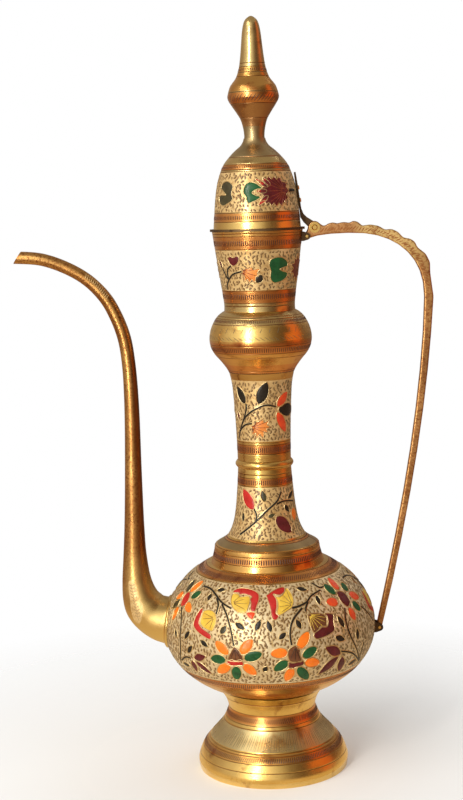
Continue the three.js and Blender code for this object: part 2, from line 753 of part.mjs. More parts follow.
// A rose washer between an ear of the fork and a head of the pin: side -1 is the front.
function washerGeometry(side) {
  const inner = HANDLE_HALF + AXIAL_GAP;
  const hole = PIN_RADIUS + PIN_CLEARANCE;
  const low = side > 0 ? inner : -inner - WASHER_THICKNESS;
  const section = [
    at(hole, low),
    at(WASHER_RADIUS, low),
    at(WASHER_RADIUS, low + WASHER_THICKNESS),
    at(hole, low + WASHER_THICKNESS),
    at(hole, low),
  ];
  const geometry = new THREE.LatheGeometry(section, ROD_SEGMENTS);
  geometry.translate(hinge.x, 0, hinge.y);
  return geometry;
}

// Lid

const domeLine = domeOutline();
const strapFootZ = DOME_Z + STRAP_FOOT_RISE;
const strapTouchZ = DOME_Z + STRAP_TOUCH_RISE;
const strapFootX = radiusOn(domeLine, strapFootZ) + SEAT_GAP;
const strapTouchX = radiusOn(domeLine, strapTouchZ) + SEAT_GAP;
const strapLean = Math.atan2(strapFootX - strapTouchX, strapTouchZ - strapFootZ);

// Places something that was made upright at the strap's foot so that it lies along the strap.
function alongStrap(geometry) {
  geometry.rotateY(-strapLean);
  geometry.translate(strapFootX, 0, strapFootZ);
  return geometry;
}

// The hole for a rivet at a height up the strap, square to it, through the strap and the dome.
function strapRivetHole(height) {
  const radius = STRAP_RIVET_RADIUS + SEAT_GAP;
  const geometry = new THREE.CylinderGeometry(radius, radius, DOME_RADIUS / 2, ROD_SEGMENTS);
  geometry.rotateZ(Math.PI / 2);
  geometry.translate(0, 0, height);
  return solid(alongStrap(geometry));
}

function strapLeafGeometry() {
  const half = STRAP_WIDTH / 2;
  const leaf = [
    at(-half * 0.6, 0),
    at(half * 0.6, 0),
    at(half, STRAP_LENGTH * 0.3),
    at(half, STRAP_LENGTH * 0.6),
    at(half * 0.55, STRAP_LENGTH * 0.85),
    at(0, STRAP_LENGTH),
    at(-half * 0.55, STRAP_LENGTH * 0.85),
    at(-half, STRAP_LENGTH * 0.6),
    at(-half, STRAP_LENGTH * 0.3),
  ];
  const geometry = new THREE.ExtrudeGeometry(new THREE.Shape(leaf), {
    depth: STRAP_THICKNESS,
    bevelEnabled: false,
  });
  geometry.rotateX(Math.PI / 2);
  geometry.rotateZ(Math.PI / 2);
  return alongStrap(geometry);
}

// The gusset that runs from the strap's foot down to the eye round the pin.
function knuckleGeometry() {
  const rise = strapFootZ - HINGE_Z;
  const out = HINGE_X - strapFootX;
  const gussetPoint = (across, up) => at(strapFootX + out * across, HINGE_Z + rise * up);
  const outline = [
    gussetPoint(0, 1),
    gussetPoint(0.06, 0.55),
    gussetPoint(0.28, 0.28),
    ...arcPoints(hinge, KNUCKLE_RADIUS, 180, 440, 12),
    gussetPoint(0.5, 0.56),
    gussetPoint(0.27, 0.75),
    gussetPoint(0.13, 1.04),
  ];
  return plate(outline, KNUCKLE_THICKNESS);
}

function strapGeometry() {
  const eye = solid(crossRod(hinge, PIN_RADIUS + PIN_CLEARANCE, 4 * KNUCKLE_THICKNESS));
  return geometryOf(
    solid(strapLeafGeometry())
      .add(solid(knuckleGeometry()))
      .subtract(eye)
      .subtract(strapRivetHole(STRAP_RIVET_LOWER))
      .subtract(strapRivetHole(STRAP_RIVET_UPPER)),
  );
}

function strapRivetGeometry(height) {
  const inside = -WALL - 2 * SEAT_GAP - STRAP_RIVET_BURR_SLACK;
  const outside = STRAP_THICKNESS + AXIAL_GAP;
  const section = [
    at(0, inside - STRAP_RIVET_HEAD_HEIGHT),
    at(STRAP_RIVET_HEAD, inside - STRAP_RIVET_HEAD_HEIGHT),
    at(STRAP_RIVET_HEAD, inside),
    at(STRAP_RIVET_RADIUS, inside),
    at(STRAP_RIVET_RADIUS, outside),
    at(STRAP_RIVET_HEAD, outside),
    at(STRAP_RIVET_HEAD * RIVET_CROWN_SHARE, outside + STRAP_RIVET_HEAD_HEIGHT),
    at(0, outside + STRAP_RIVET_HEAD_HEIGHT),
  ];
  const geometry = new THREE.LatheGeometry(section, ROD_SEGMENTS);
  geometry.rotateZ(-Math.PI / 2);
  geometry.translate(0, 0, height);
  return alongStrap(geometry);
}

function domeGeometry() {
  const dome = solid(shell(domeLine, NECK_SEGMENTS, { topRadius: TANG_RADIUS + SEAT_GAP }));
  return geometryOf(
    dome
      .subtract(strapRivetHole(STRAP_RIVET_LOWER))
      .subtract(strapRivetHole(STRAP_RIVET_UPPER)),
  );
}

const lidCollarRadius = CUP_TOP_RADIUS - WALL - LID_COLLAR_CLEARANCE;
const lidCollarInner = lidCollarRadius - WALL;

function flangeGeometry() {
  return ring(lidCollarInner, FLANGE_RADIUS, FLANGE_Z, FLANGE_THICKNESS, NECK_SEGMENTS);
}

function lidCollarGeometry() {
  const base = FLANGE_Z - LID_COLLAR_HEIGHT;
  return ring(lidCollarInner, lidCollarRadius, base, LID_COLLAR_HEIGHT, NECK_SEGMENTS);
}

function finialNutGeometry() {
  const base = FINIAL_Z - WALL - NUT_HEIGHT;
  return ring(TANG_RADIUS + SEAT_GAP, NUT_RADIUS, base, NUT_HEIGHT, FINIAL_SEGMENTS);
}

// Materials and assembly

const POLISHED = { color: 0xd9a441, roughness: 0.25, metalness: 1 };
const CAST = { color: 0xb98a3e, roughness: 0.4, metalness: 1 };
const ENAMELLED = { color: 0xe3d9b4, roughness: 0.45, metalness: 0.4 };
const DARK = { color: 0x4a3524, roughness: 0.6, metalness: 0.8 };

const jug = new THREE.Group();

function addPiece(name, geometry, look) {
  const mesh = new THREE.Mesh(geometry, new THREE.MeshStandardMaterial(look));
  mesh.name = name;
  jug.add(mesh);
}

addPiece('foot', footGeometry(), POLISHED);
addPiece('belly_lower', bellyLowerGeometry(), ENAMELLED);
addPiece('belly_upper', bellyUpperGeometry(), ENAMELLED);
addPiece('shoulder_collar', shell(collarOutline(), WIDE_SEGMENTS), POLISHED);
addPiece('neck_lower', shell(neckLowerOutline(), NECK_SEGMENTS), ENAMELLED);
addPiece('neck_ring', shell(neckRingOutline(), NECK_SEGMENTS), POLISHED);
addPiece('neck_upper', shell(neckUpperOutline(), NECK_SEGMENTS), ENAMELLED);
addPiece('bulb_lower', shell(bulbLowerOutline(), NECK_SEGMENTS), POLISHED);
addPiece('bulb_upper', shell(bulbUpperOutline(), NECK_SEGMENTS), POLISHED);
addPiece('mouth_cup', shell(cupLine, NECK_SEGMENTS), ENAMELLED);

addPiece('spout', spoutGeometry(), POLISHED);
addPiece('spout_collar', spoutCollarGeometry(), POLISHED);

addPiece('handle', handleGeometry(), CAST);
addPiece('handle_bracket', bracketGeometry(), DARK);
addPiece('bracket_rivet', clevisRivet(bracketRivet), POLISHED);
addPiece('handle_lug', lugGeometry(), DARK);
addPiece('lug_rivet', clevisRivet(lugRivet), POLISHED);
addPiece('hinge_pin', hingePinGeometry(), POLISHED);
addPiece('hinge_washer_front', washerGeometry(-1), POLISHED);
addPiece('hinge_washer_back', washerGeometry(1), POLISHED);

addPiece('lid_flange', flangeGeometry(), POLISHED);
addPiece('lid_collar', lidCollarGeometry(), POLISHED);
addPiece('lid_dome', domeGeometry(), ENAMELLED);
addPiece('finial', turned(finialOutline(), FINIAL_SEGMENTS), POLISHED);
addPiece('finial_nut', finialNutGeometry(), POLISHED);
addPiece('hinge_strap', strapGeometry(), CAST);
addPiece('strap_rivet_lower', strapRivetGeometry(STRAP_RIVET_LOWER), POLISHED);
addPiece('strap_rivet_upper', strapRivetGeometry(STRAP_RIVET_UPPER), POLISHED);

// The origin lies under the middle of the overall width, on the plane that the foot stands on.
jug.position.x = (SPOUT_REACH - HANDLE_REACH) / 2;

export default jug;
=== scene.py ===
"""Looks of a tall brass ewer with enamel flowers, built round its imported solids."""
import math

import bmesh
import bpy
import numpy as np
from mathutils import Matrix, Vector
from mathutils.bvhtree import BVHTree
from mathutils.geometry import delaunay_2d_cdt


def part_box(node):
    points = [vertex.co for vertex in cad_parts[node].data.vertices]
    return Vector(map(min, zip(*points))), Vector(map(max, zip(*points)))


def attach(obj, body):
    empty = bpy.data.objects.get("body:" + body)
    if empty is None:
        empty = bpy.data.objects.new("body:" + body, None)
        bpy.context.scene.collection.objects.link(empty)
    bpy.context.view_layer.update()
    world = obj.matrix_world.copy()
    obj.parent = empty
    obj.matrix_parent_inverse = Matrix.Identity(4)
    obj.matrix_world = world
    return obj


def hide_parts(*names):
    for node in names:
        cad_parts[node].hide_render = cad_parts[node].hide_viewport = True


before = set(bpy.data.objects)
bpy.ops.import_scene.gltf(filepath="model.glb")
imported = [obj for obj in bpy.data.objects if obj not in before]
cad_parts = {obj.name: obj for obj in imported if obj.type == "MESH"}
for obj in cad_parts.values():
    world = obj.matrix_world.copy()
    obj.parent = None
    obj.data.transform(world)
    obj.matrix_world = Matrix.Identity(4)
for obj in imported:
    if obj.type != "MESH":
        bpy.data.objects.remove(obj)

MM = 0.001
TURN = 2 * math.pi
TINY = 0.01 * MM
BURIED = -0.1 * MM
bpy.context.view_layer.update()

# Camera of the photograph: pixels are those of its 463 x 800 frame

FRAME_WIDTH = 463
FRAME_HEIGHT = 800
FOCAL_PIXELS = 1500
SENSOR_MM = 36
CAMERA_PLACE = Vector((0.0028, -1.208, 0.463))
CAMERA_TILT = math.radians(82.6)
CAMERA_ROLL = math.radians(-1.93)

camera_matrix = (
    Matrix.Translation(CAMERA_PLACE)
    @ Matrix.Rotation(CAMERA_TILT, 4, "X")
    @ Matrix.Rotation(CAMERA_ROLL, 4, "Z")
)
camera_data = bpy.data.cameras.new("camera")
camera_data.sensor_width = SENSOR_MM
camera_data.lens = FOCAL_PIXELS * SENSOR_MM / FRAME_HEIGHT
camera = bpy.data.objects.new("camera", camera_data)
bpy.context.scene.collection.objects.link(camera)
camera.matrix_world = camera_matrix
bpy.context.scene.camera = camera


def pixel_ray(px, py):
    """The direction in which the camera sees a pixel."""
    local = Vector((px - FRAME_WIDTH / 2, FRAME_HEIGHT / 2 - py, -FOCAL_PIXELS))
    return np.array((camera_matrix.to_3x3() @ local).normalized())


def picture_places(points):
    """The pixels of the photograph at which points lie."""
    to_camera = np.array(camera_matrix.inverted())
    local = np.asarray(points, float) @ to_camera[:3, :3].T + to_camera[:3, 3]
    right = FRAME_WIDTH / 2 - FOCAL_PIXELS * local[..., 0] / local[..., 2]
    down = FRAME_HEIGHT / 2 + FOCAL_PIXELS * local[..., 1] / local[..., 2]
    return np.stack([right, down], -1)


def picture_row(point):
    """The row of the photograph on which a point lies."""
    return float(picture_places(point)[1])


# Materials


def add_node(tree, kind, **sockets):
    """A new shader node. Each named input is linked to a socket or set to a value, and an
    underscore in its name stands for a space."""
    node = tree.nodes.new("ShaderNode" + kind)
    for name, value in sockets.items():
        socket = node.inputs[name.replace("_", " ")]
        if isinstance(value, bpy.types.NodeSocket):
            tree.links.new(value, socket)
        else:
            socket.default_value = value
    return node


def distance_from_middle(tree, place):
    node = add_node(tree, "VectorMath", Vector=place)
    node.operation = "LENGTH"
    return node.outputs["Value"]


class Look:
    """A Principled material whose colour, roughness and relief come from nodes."""

    def __init__(self, name, metallic, roughness):
        self.material = bpy.data.materials.new(name)
        self.material.use_nodes = True
        self.tree = self.material.node_tree
        self.shader = self.tree.nodes["Principled BSDF"]
        self.shader.inputs["Metallic"].default_value = metallic
        self.shader.inputs["Roughness"].default_value = roughness
        self.place = add_node(self.tree, "TexCoord").outputs["Object"]
        self.relief = None

    def set(self, name, socket):
        self.tree.links.new(socket, self.shader.inputs[name])

    def noise(self, scale, detail=3.0, stretch=(1, 1, 1)):
        """Noise between 0 and 1; scale counts its lumps in a metre."""
        mapping = add_node(self.tree, "Mapping", Vector=self.place, Scale=[scale * s for s in stretch])
        place = mapping.outputs["Vector"]
        return add_node(self.tree, "TexNoise", Vector=place, Scale=1.0, Detail=detail).outputs["Fac"]

    def cells(self, scale):
        """The distance to the nearest of many scattered points."""
        return add_node(self.tree, "TexVoronoi", Vector=self.place, Scale=scale).outputs["Distance"]

    def spread(self, value, low, high, to_low=0.0, to_high=1.0):
        """A value stretched from one range to another and held inside it."""
        node = add_node(
            self.tree, "MapRange", Value=value, From_Min=low, From_Max=high, To_Min=to_low, To_Max=to_high
        )
        return node.outputs["Result"]

    def lumps(self, scale, detail, low, high, to_low=0.0, to_high=1.0):
        """Noise that is stretched between two of its values."""
        return self.spread(self.noise(scale, detail), low, high, to_low, to_high)

    def blend(self, share, first, second):
        """One colour turning into another; either may be numbers or a socket."""
        node = add_node(self.tree, "Mix", Factor=share)
        node.data_type = "RGBA"
        colour_inputs = [socket for socket in node.inputs if socket.type == "RGBA"]
        for socket, colour in zip(colour_inputs, (first, second)):
            if isinstance(colour, tuple):
                socket.default_value = (*colour, 1)
            else:
                self.tree.links.new(colour, socket)
        return next(socket for socket in node.outputs if socket.type == "RGBA")

    def colour(self, socket):
        self.tones = socket
        self.set("Base Color", socket)

    def fade(self, span, colour, axis="Z"):
        """Turns the colour that was set into another one between two places on an axis."""
        parts = add_node(self.tree, "SeparateXYZ", Vector=self.place)
        self.colour(self.blend(self.spread(parts.outputs[axis], *span), self.tones, colour))

    def bump(self, height, depth_mm, strength=1.0):
        """Adds relief; each call builds on the one before."""
        node = add_node(self.tree, "Bump", Height=height, Distance=depth_mm * MM, Strength=strength)
        if self.relief is not None:
            self.tree.links.new(self.relief, node.inputs["Normal"])
        self.relief = node.outputs["Normal"]
        self.set("Normal", self.relief)


PATCH_BLUR = 0.14
SMEAR_SHARES = (0.75, 1.4)
LATHE_MARKS = (40, 40, 2600)


def brass_look(name, bright, deep, tarnish, roughness, turned=True, tarnish_from=0.58, patches_at=70):
    """Polished or cast brass: two golds, brown tarnish in patches, and fine marks."""
    look = Look(name, metallic=1.0, roughness=roughness)
    golds = look.blend(look.lumps(22, 4, 0.35, 0.65), bright, deep)
    patches = look.lumps(patches_at, 8, tarnish_from, tarnish_from + PATCH_BLUR)
    look.colour(look.blend(patches, golds, tarnish))
    smears = look.lumps(60, 6, 0.3, 0.7, *[roughness * share for share in SMEAR_SHARES])
    look.set("Roughness", smears)
    if turned:
        look.bump(look.noise(1, 3, LATHE_MARKS), 0.05)
    look.bump(look.noise(900, 4), 0.03)
    return look


def brass(name, bright, deep, tarnish, roughness, turned=True):
    return brass_look(name, bright, deep, tarnish, roughness, turned).material


# Where a tone starts to turn into another and where it has turned, in metres on an axis
# The spout's side that faces the body: painted shade
SPOUT_SHADED_SIDE = (-0.079, -0.0745)
# The lower spout towards the root: painted light, for its highlight and the bright ground it reflects
SPOUT_LIT_ROOT = (0.19, 0.125)
ARM_TOP = (0.405, 0.428)
LEG_END = (0.114, 0.104)


def aged_spout_and_painted_light():
    """Copper brown and gold in a fine mottle, with painted shade on the side that faces the body, and
    painted light that turns it to plain pale gold near the root.
    """
    look = brass_look(
        "aged_spout_and_painted_light", (0.68, 0.40, 0.13), (0.46, 0.22, 0.065), (0.34, 0.14, 0.045), 0.3,
        turned=False, tarnish_from=0.48, patches_at=620,
    )
    # Painted shade: dark brown on the side that faces the body
    look.fade(SPOUT_SHADED_SIDE, (0.24, 0.09, 0.03), "X")
    # Painted light: plain pale gold near the root
    look.fade(SPOUT_LIT_ROOT, (0.80, 0.58, 0.22))
    return look.material


def handle_brass():
    """Pale gold in the middle of the arm, coppery on both sides of it."""
    look = brass_look(
        "handle_brass", (0.66, 0.38, 0.15), (0.48, 0.25, 0.09), (0.34, 0.14, 0.05), 0.36,
        turned=False, tarnish_from=0.5, patches_at=330,
    )
    look.fade(ARM_TOP, (0.84, 0.60, 0.25))
    look.fade(LEG_END, (0.62, 0.33, 0.14), "X")
    mottle = look.lumps(420, 5, 0.5, 0.66)
    look.colour(look.blend(mottle, look.tones, (0.44, 0.20, 0.075)))
    return look.material


def chased_ground(name, pale, deep, bare):
    """The pale ground round the enamel: chased metal under a worn wash."""
    look = Look(name, metallic=0.5, roughness=0.4)
    worn = look.lumps(230, 6, 0.5, 0.7)
    tones = look.blend(look.lumps(45, 3, 0.35, 0.65), pale, deep)
    look.colour(look.blend(worn, tones, bare))
    look.set("Roughness", look.lumps(180, 4, 0.3, 0.7, 0.3, 0.55))
    look.bump(look.cells(420), 0.14, 0.6)
    return look.material


def glaze(name, colour, shade):
    """Glossy enamel with a slightly uneven colour and surface."""
    look = Look(name, metallic=0.0, roughness=0.3)
    look.shader.inputs["Specular IOR Level"].default_value = 0.3
    look.colour(look.blend(look.lumps(170, 4, 0.35, 0.7), colour, shade))
    look.set("Roughness", look.lumps(240, 4, 0.3, 0.7, 0.2, 0.42))
    look.bump(look.noise(420, 3), 0.08)
    return look.material


POLISHED = brass("polished_brass", (0.86, 0.60, 0.21), (0.74, 0.48, 0.14), (0.42, 0.20, 0.06), 0.21)
PALE = brass("worn_brass", (0.70, 0.52, 0.23), (0.54, 0.38, 0.15), (0.38, 0.21, 0.08), 0.24)
LACQUERED = brass("lacquered_brass", (0.80, 0.48, 0.15), (0.66, 0.34, 0.09), (0.45, 0.15, 0.04), 0.21)
COPPERED = brass("coppered_brass", (0.76, 0.36, 0.11), (0.62, 0.25, 0.07), (0.42, 0.13, 0.04), 0.23)
GROOVE = brass("groove_brass", (0.32, 0.14, 0.05), (0.22, 0.09, 0.03), (0.12, 0.05, 0.02), 0.42)
RIM = brass("rim_brass", (0.76, 0.60, 0.32), (0.62, 0.46, 0.22), (0.42, 0.27, 0.11), 0.4, turned=False)
HATCHED = brass("hatched_brass", (0.76, 0.64, 0.34), (0.64, 0.50, 0.23), (0.46, 0.27, 0.10), 0.28)
BROWNED = brass("browned_brass", (0.54, 0.31, 0.13), (0.40, 0.21, 0.08), (0.26, 0.11, 0.045), 0.28)
GREYED = brass("greyed_brass", (0.46, 0.35, 0.18), (0.35, 0.25, 0.12), (0.25, 0.14, 0.07), 0.36)
CUT_LINE = glaze("cut_line", (0.13, 0.09, 0.04), (0.08, 0.05, 0.022))
TICK = glaze("tick", (0.10, 0.032, 0.013), (0.06, 0.02, 0.009))
RUSTY_LINE = brass(
    "rusty_line", (0.46, 0.18, 0.06), (0.34, 0.11, 0.035), (0.2, 0.06, 0.02), 0.4, turned=False
)
# Dark brass for the lid's flange and the handle's bracket, lug and strap: painted shade, as these lie in
# shadow
PAINTED_SHADE = brass("dark_brass", (0.16, 0.10, 0.05), (0.08, 0.05, 0.03), (0.03, 0.02, 0.015), 0.5, turned=False)
SPOUT = aged_spout_and_painted_light()
HANDLE = handle_brass()
GROUND = chased_ground("cream_ground", (0.74, 0.61, 0.38), (0.64, 0.48, 0.26), (0.50, 0.33, 0.13))
GOLDEN = chased_ground("golden_ground", (0.74, 0.53, 0.25), (0.62, 0.41, 0.16), (0.47, 0.27, 0.09))
CHASING = glaze("chased_dark", (0.15, 0.075, 0.022), (0.085, 0.04, 0.012))
# Brown: painted shade beside each chased stroke, and the colour of the spout's engraved marks
SHADE_AND_MARK_BROWN = glaze("painted_shade_and_mark_brown", (0.41, 0.26, 0.11), (0.31, 0.18, 0.07))
ENAMEL_TONES = {
    "red": ((0.50, 0.022, 0.016), (0.36, 0.014, 0.01)),
    "orange": ((0.92, 0.21, 0.012), (0.80, 0.14, 0.008)),
    "apricot": ((0.80, 0.29, 0.06), (0.66, 0.19, 0.035)),
    "scarlet": ((0.78, 0.075, 0.012), (0.62, 0.045, 0.01)),
    "green": ((0.014, 0.10, 0.028), (0.008, 0.055, 0.016)),
    "yellow": ((0.76, 0.50, 0.06), (0.60, 0.35, 0.035)),
    "maroon": ((0.125, 0.012, 0.014), (0.07, 0.007, 0.008)),
    # Russet: the ribs' own colour, and on the cup's burst a red darkened as painted shade
    "russet": ((0.26, 0.05, 0.018), (0.15, 0.028, 0.012)),
    "brown": ((0.17, 0.06, 0.02), (0.10, 0.03, 0.012)),
    "black": ((0.020, 0.014, 0.008), (0.010, 0.008, 0.005)),
    "olive": ((0.060, 0.048, 0.018), (0.028, 0.022, 0.010)),
}
ENAMELS = {name: glaze("enamel_" + name, *tones) for name, tones in ENAMEL_TONES.items()}
ENAMEL_ORDER = list(ENAMELS)

# Meshes

# Degrees over which an edge shows as sharp
PLATE_SHARP = 40
SHELL_SHARP = 50
WORK_SHARP = 60
RIM_SHARP = 80


class Pile:
    """Points and faces of one mesh, gathered bit by bit."""

    def __init__(self):
        self.points = []
        self.faces = []
        self.looks = []
        self.count = 0

    def add(self, points, faces, look=0):
        points = np.asarray(points, float).reshape(-1, 3)
        self.points.append(points)
        self.faces += [tuple(i + self.count for i in face) for face in faces]
        self.looks += [look] * len(faces) if isinstance(look, int) else list(look)
        self.count += len(points)

    def build(self, name, materials, sharp_degrees=PLATE_SHARP):
        mesh = bpy.data.meshes.new(name)
        mesh.from_pydata(np.concatenate(self.points).tolist(), [], self.faces)
        for material in materials:
            mesh.materials.append(material)
        mesh.polygons.foreach_set("material_index", self.looks)
        mesh.polygons.foreach_set("use_smooth", [True] * len(self.faces))
        mesh.set_sharp_from_angle(angle=math.radians(sharp_degrees))
        piece = bpy.data.objects.new(name, mesh)
        bpy.context.scene.collection.objects.link(piece)
        return piece


def finish_piece(piece, body, slot, *nodes):
    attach(piece, body)
    if nodes:
        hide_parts(*nodes)
    return piece


def grid_faces(rows, columns, round_rows=False, round_columns=True):
    """Quads of a grid of points, which may close on itself either way."""
    faces = []
    for i in range(rows if round_rows else rows - 1):
        above = (i + 1) % rows
        for j in range(columns if round_columns else columns - 1):
            beside = (j + 1) % columns
            faces.append(
                (i * columns + j, i * columns + beside, above * columns + beside, above * columns + j)
            )
    return faces


def spline(knots, steps):
    """A smooth line through knots, with some steps from each to the next."""
    knots = np.asarray(knots, float)
    padded = np.vstack([knots[0], knots, knots[-1]])
    shares = np.arange(steps)[:, None] / steps
    points = []
    for before, start, end, after in zip(padded, padded[1:], padded[2:], padded[3:]):
        leave = (end - before) / 2
        arrive = (after - start) / 2
        points.append(
            (2 * start - 2 * end + leave + arrive) * shares**3
            + (3 * end - 3 * start - 2 * leave - arrive) * shares**2
            + leave * shares
            + start
        )
    return np.vstack([*points, knots[-1:]])


def closed_spline(knots, steps):
    """A smooth closed line through knots."""
    around = np.vstack([knots[-1:], knots, knots[:2]])
    return spline(around, steps)[steps:-steps - 1]


LEAST_STEPS = 6


def respaced(path, spacing, closed=False):
    """Points at even distances along a path."""
    path = np.asarray(path, float)
    if closed:
        path = np.vstack([path, path[:1]])
    reach = np.concatenate([[0], np.cumsum(np.linalg.norm(np.diff(path, axis=0), axis=1))])
    count = max(int(round(reach[-1] / spacing)), LEAST_STEPS)
    places = np.linspace(0, reach[-1], count + 1)
    if closed:
        places = places[:-1]
    return np.stack([np.interp(places, reach, path[:, k]) for k in range(path.shape[1])], 1)


def grid_points(low, high, step):
    """Points on a plane in even rows between two corners."""
    rows = [np.arange(start, end, step) for start, end in zip(low, high)]
    return np.stack(np.meshgrid(*rows), -1).reshape(-1, 2)


ALL_TRIANGLES = 0
INNER_TRIANGLES = 1


def triangulated(points, edges, outlines, mode, nearest):
    """The points and the triangles of a plane figure, by Delaunay's method."""
    made = delaunay_2d_cdt([Vector(p) for p in points], edges, outlines, mode, nearest)
    return np.array([tuple(p) for p in made[0]]), [tuple(face) for face in made[2]]


# Surfaces of the turned pieces

ring_low, ring_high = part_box("neck_ring")
AXIS_X = (ring_low.x + ring_high.x) / 2
SHEET = 1.6 * MM
LINE_STEPS = 10
OUTWARD = 0.02
RING_CORNERS = 12
RAY_REACHES = np.arange(1.05, 1.35, 0.0002)


def outer_rings(node):
    """Height and radius of each full circle of corners on the outside of a turned piece."""
    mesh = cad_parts[node].data
    rings = {}
    for polygon in mesh.polygons:
        outward = Vector((polygon.center.x - AXIS_X, polygon.center.y, 0))
        if polygon.normal.dot(outward.normalized()) < OUTWARD:
            continue
        for index in polygon.vertices:
            x, y, z = mesh.vertices[index].co
            key = (round(z, 5), round(math.hypot(x - AXIS_X, y), 5))
            rings.setdefault(key, set()).add(round(math.atan2(y, x - AXIS_X), 2))
    return {z: r for (z, r), angles in sorted(rings.items()) if len(angles) >= RING_CORNERS}


class Surface:
    """The outside of one or more turned pieces. A place on it is an angle, 0 at the front and
    growing towards +X, and a distance along the outline from its lower end."""

    def __init__(self, *nodes, poles=(), bottom=0.0):
        rings = dict(poles)
        for node in nodes:
            rings.update(outer_rings(node))
        knots = [(rings[z], z) for z in sorted(rings) if z >= bottom]
        ends_at_pole = knots[-1][0] == 0
        if ends_at_pole:
            knots.append((-knots[-2][0], knots[-2][1]))
        line = spline(knots, LINE_STEPS)
        if ends_at_pole:
            line = line[:-LINE_STEPS]
        self.r = np.maximum(line[:, 0], 0)
        self.z = line[:, 1]
        steps = np.hypot(np.diff(self.r), np.diff(self.z))
        self.along = np.concatenate([[0], np.cumsum(steps)])
        slope_r = np.gradient(self.r, self.along)
        slope_z = np.gradient(self.z, self.along)
        size = np.hypot(slope_r, slope_z)
        self.out = slope_z / size
        self.up = -slope_r / size
        rows = [picture_row((AXIS_X, -r, z)) for r, z in zip(self.r, self.z)]
        self.rows = np.maximum.accumulate(-np.array(rows))
        self.length = self.along[-1]

    def place(self, row):
        """How far along the outline a row of the photograph lies."""
        return float(np.interp(-row, self.rows, self.along))

    def radius(self, along):
        return np.interp(along, self.along, self.r)

    def section(self, along, lift):
        """Radius and height at places along the outline, lifted off it along its normal."""
        r = np.interp(along, self.along, self.r) + np.interp(along, self.along, self.out) * lift
        z = np.interp(along, self.along, self.z) + np.interp(along, self.along, self.up) * lift
        return r, z

    def points(self, angle, along, lift):
        """Points lifted off the surface along its normal."""
        angle, along = np.broadcast_arrays(np.asarray(angle, float), np.asarray(along, float))
        r, z = self.section(along, lift)
        return np.stack([AXIS_X + r * np.sin(angle), -r * np.cos(angle), z], -1).reshape(-1, 3)

    def at_pixel(self, px, py):
        """The angle and the distance along the outline where the camera sees a pixel."""
        path = np.array(CAMERA_PLACE) + pixel_ray(px, py) * RAY_REACHES[:, None]
        from_axis = np.hypot(path[:, 0] - AXIS_X, path[:, 1])
        gap = from_axis - np.interp(path[:, 2], self.z, self.r)
        reached = np.nonzero(gap <= 0)[0]
        hit = path[reached[0] if len(reached) else int(np.argmin(gap))]
        angle = math.atan2(hit[0] - AXIS_X, -hit[1])
        return angle, float(np.interp(hit[2], self.z, self.along))


SKIN_LOOKS = [POLISHED, COPPERED, GROOVE, HATCHED, GROUND, GOLDEN, PALE, LACQUERED, BROWNED, GREYED, PAINTED_SHADE]
GROOVE_WIDTH = 0.42 * MM
GROOVE_REACH = 0.6 * GROOVE_WIDTH
GROOVE_DEPTH = 0.22 * MM
GROOVE_SHARES = (-0.6, -0.3, 0, 0.3, 0.6)
WALL_STEPS = 24
ROW_SPACING = 1.1 * MM
TURNED_SIDES = 192


def skin_rows(surface, grooves, borders):
    """Distances along the outline for a skin's rings, closer together at each groove."""
    places = list(np.linspace(0, surface.length, int(surface.length / ROW_SPACING) + 2))
    for groove in grooves:
        places += [groove + GROOVE_WIDTH * share for share in GROOVE_SHARES]
    places += list(borders)
    kept = [p for p in places if 0 <= p <= surface.length]
    return np.unique(np.round(kept, 6))


def inner_wall(surface, rim, lip, tang):
    """Radius and height of the inside of the sheet from the top down. The lip at the top and the
    rim at the bottom are radii to which the sheet is turned in; a tang fills the rim and ends at
    a height of its own."""
    r, z = surface.section(np.linspace(0, surface.length, WALL_STEPS), -SHEET)
    z = np.clip(z, surface.z[0], surface.z[-1])
    points = list(zip(np.maximum(r, TINY), z))[::-1]
    if lip is None:
        points[0] = (r[-1], surface.z[-1])
    else:
        inner = surface.z[-1] - SHEET
        points = [p for p in points if p[1] < inner]
        points = [(lip, surface.z[-1]), (lip, inner)] + points
    if rim is None:
        points[-1] = (max(r[0], TINY), surface.z[0])
    else:
        inner = surface.z[0] + SHEET
        points = [p for p in points if p[1] > inner]
        if tang is None:
            points.append((rim, inner))
        else:
            points += [(TINY, inner), (TINY, tang), (rim, tang)]
        points.append((rim, surface.z[0]))
    return points


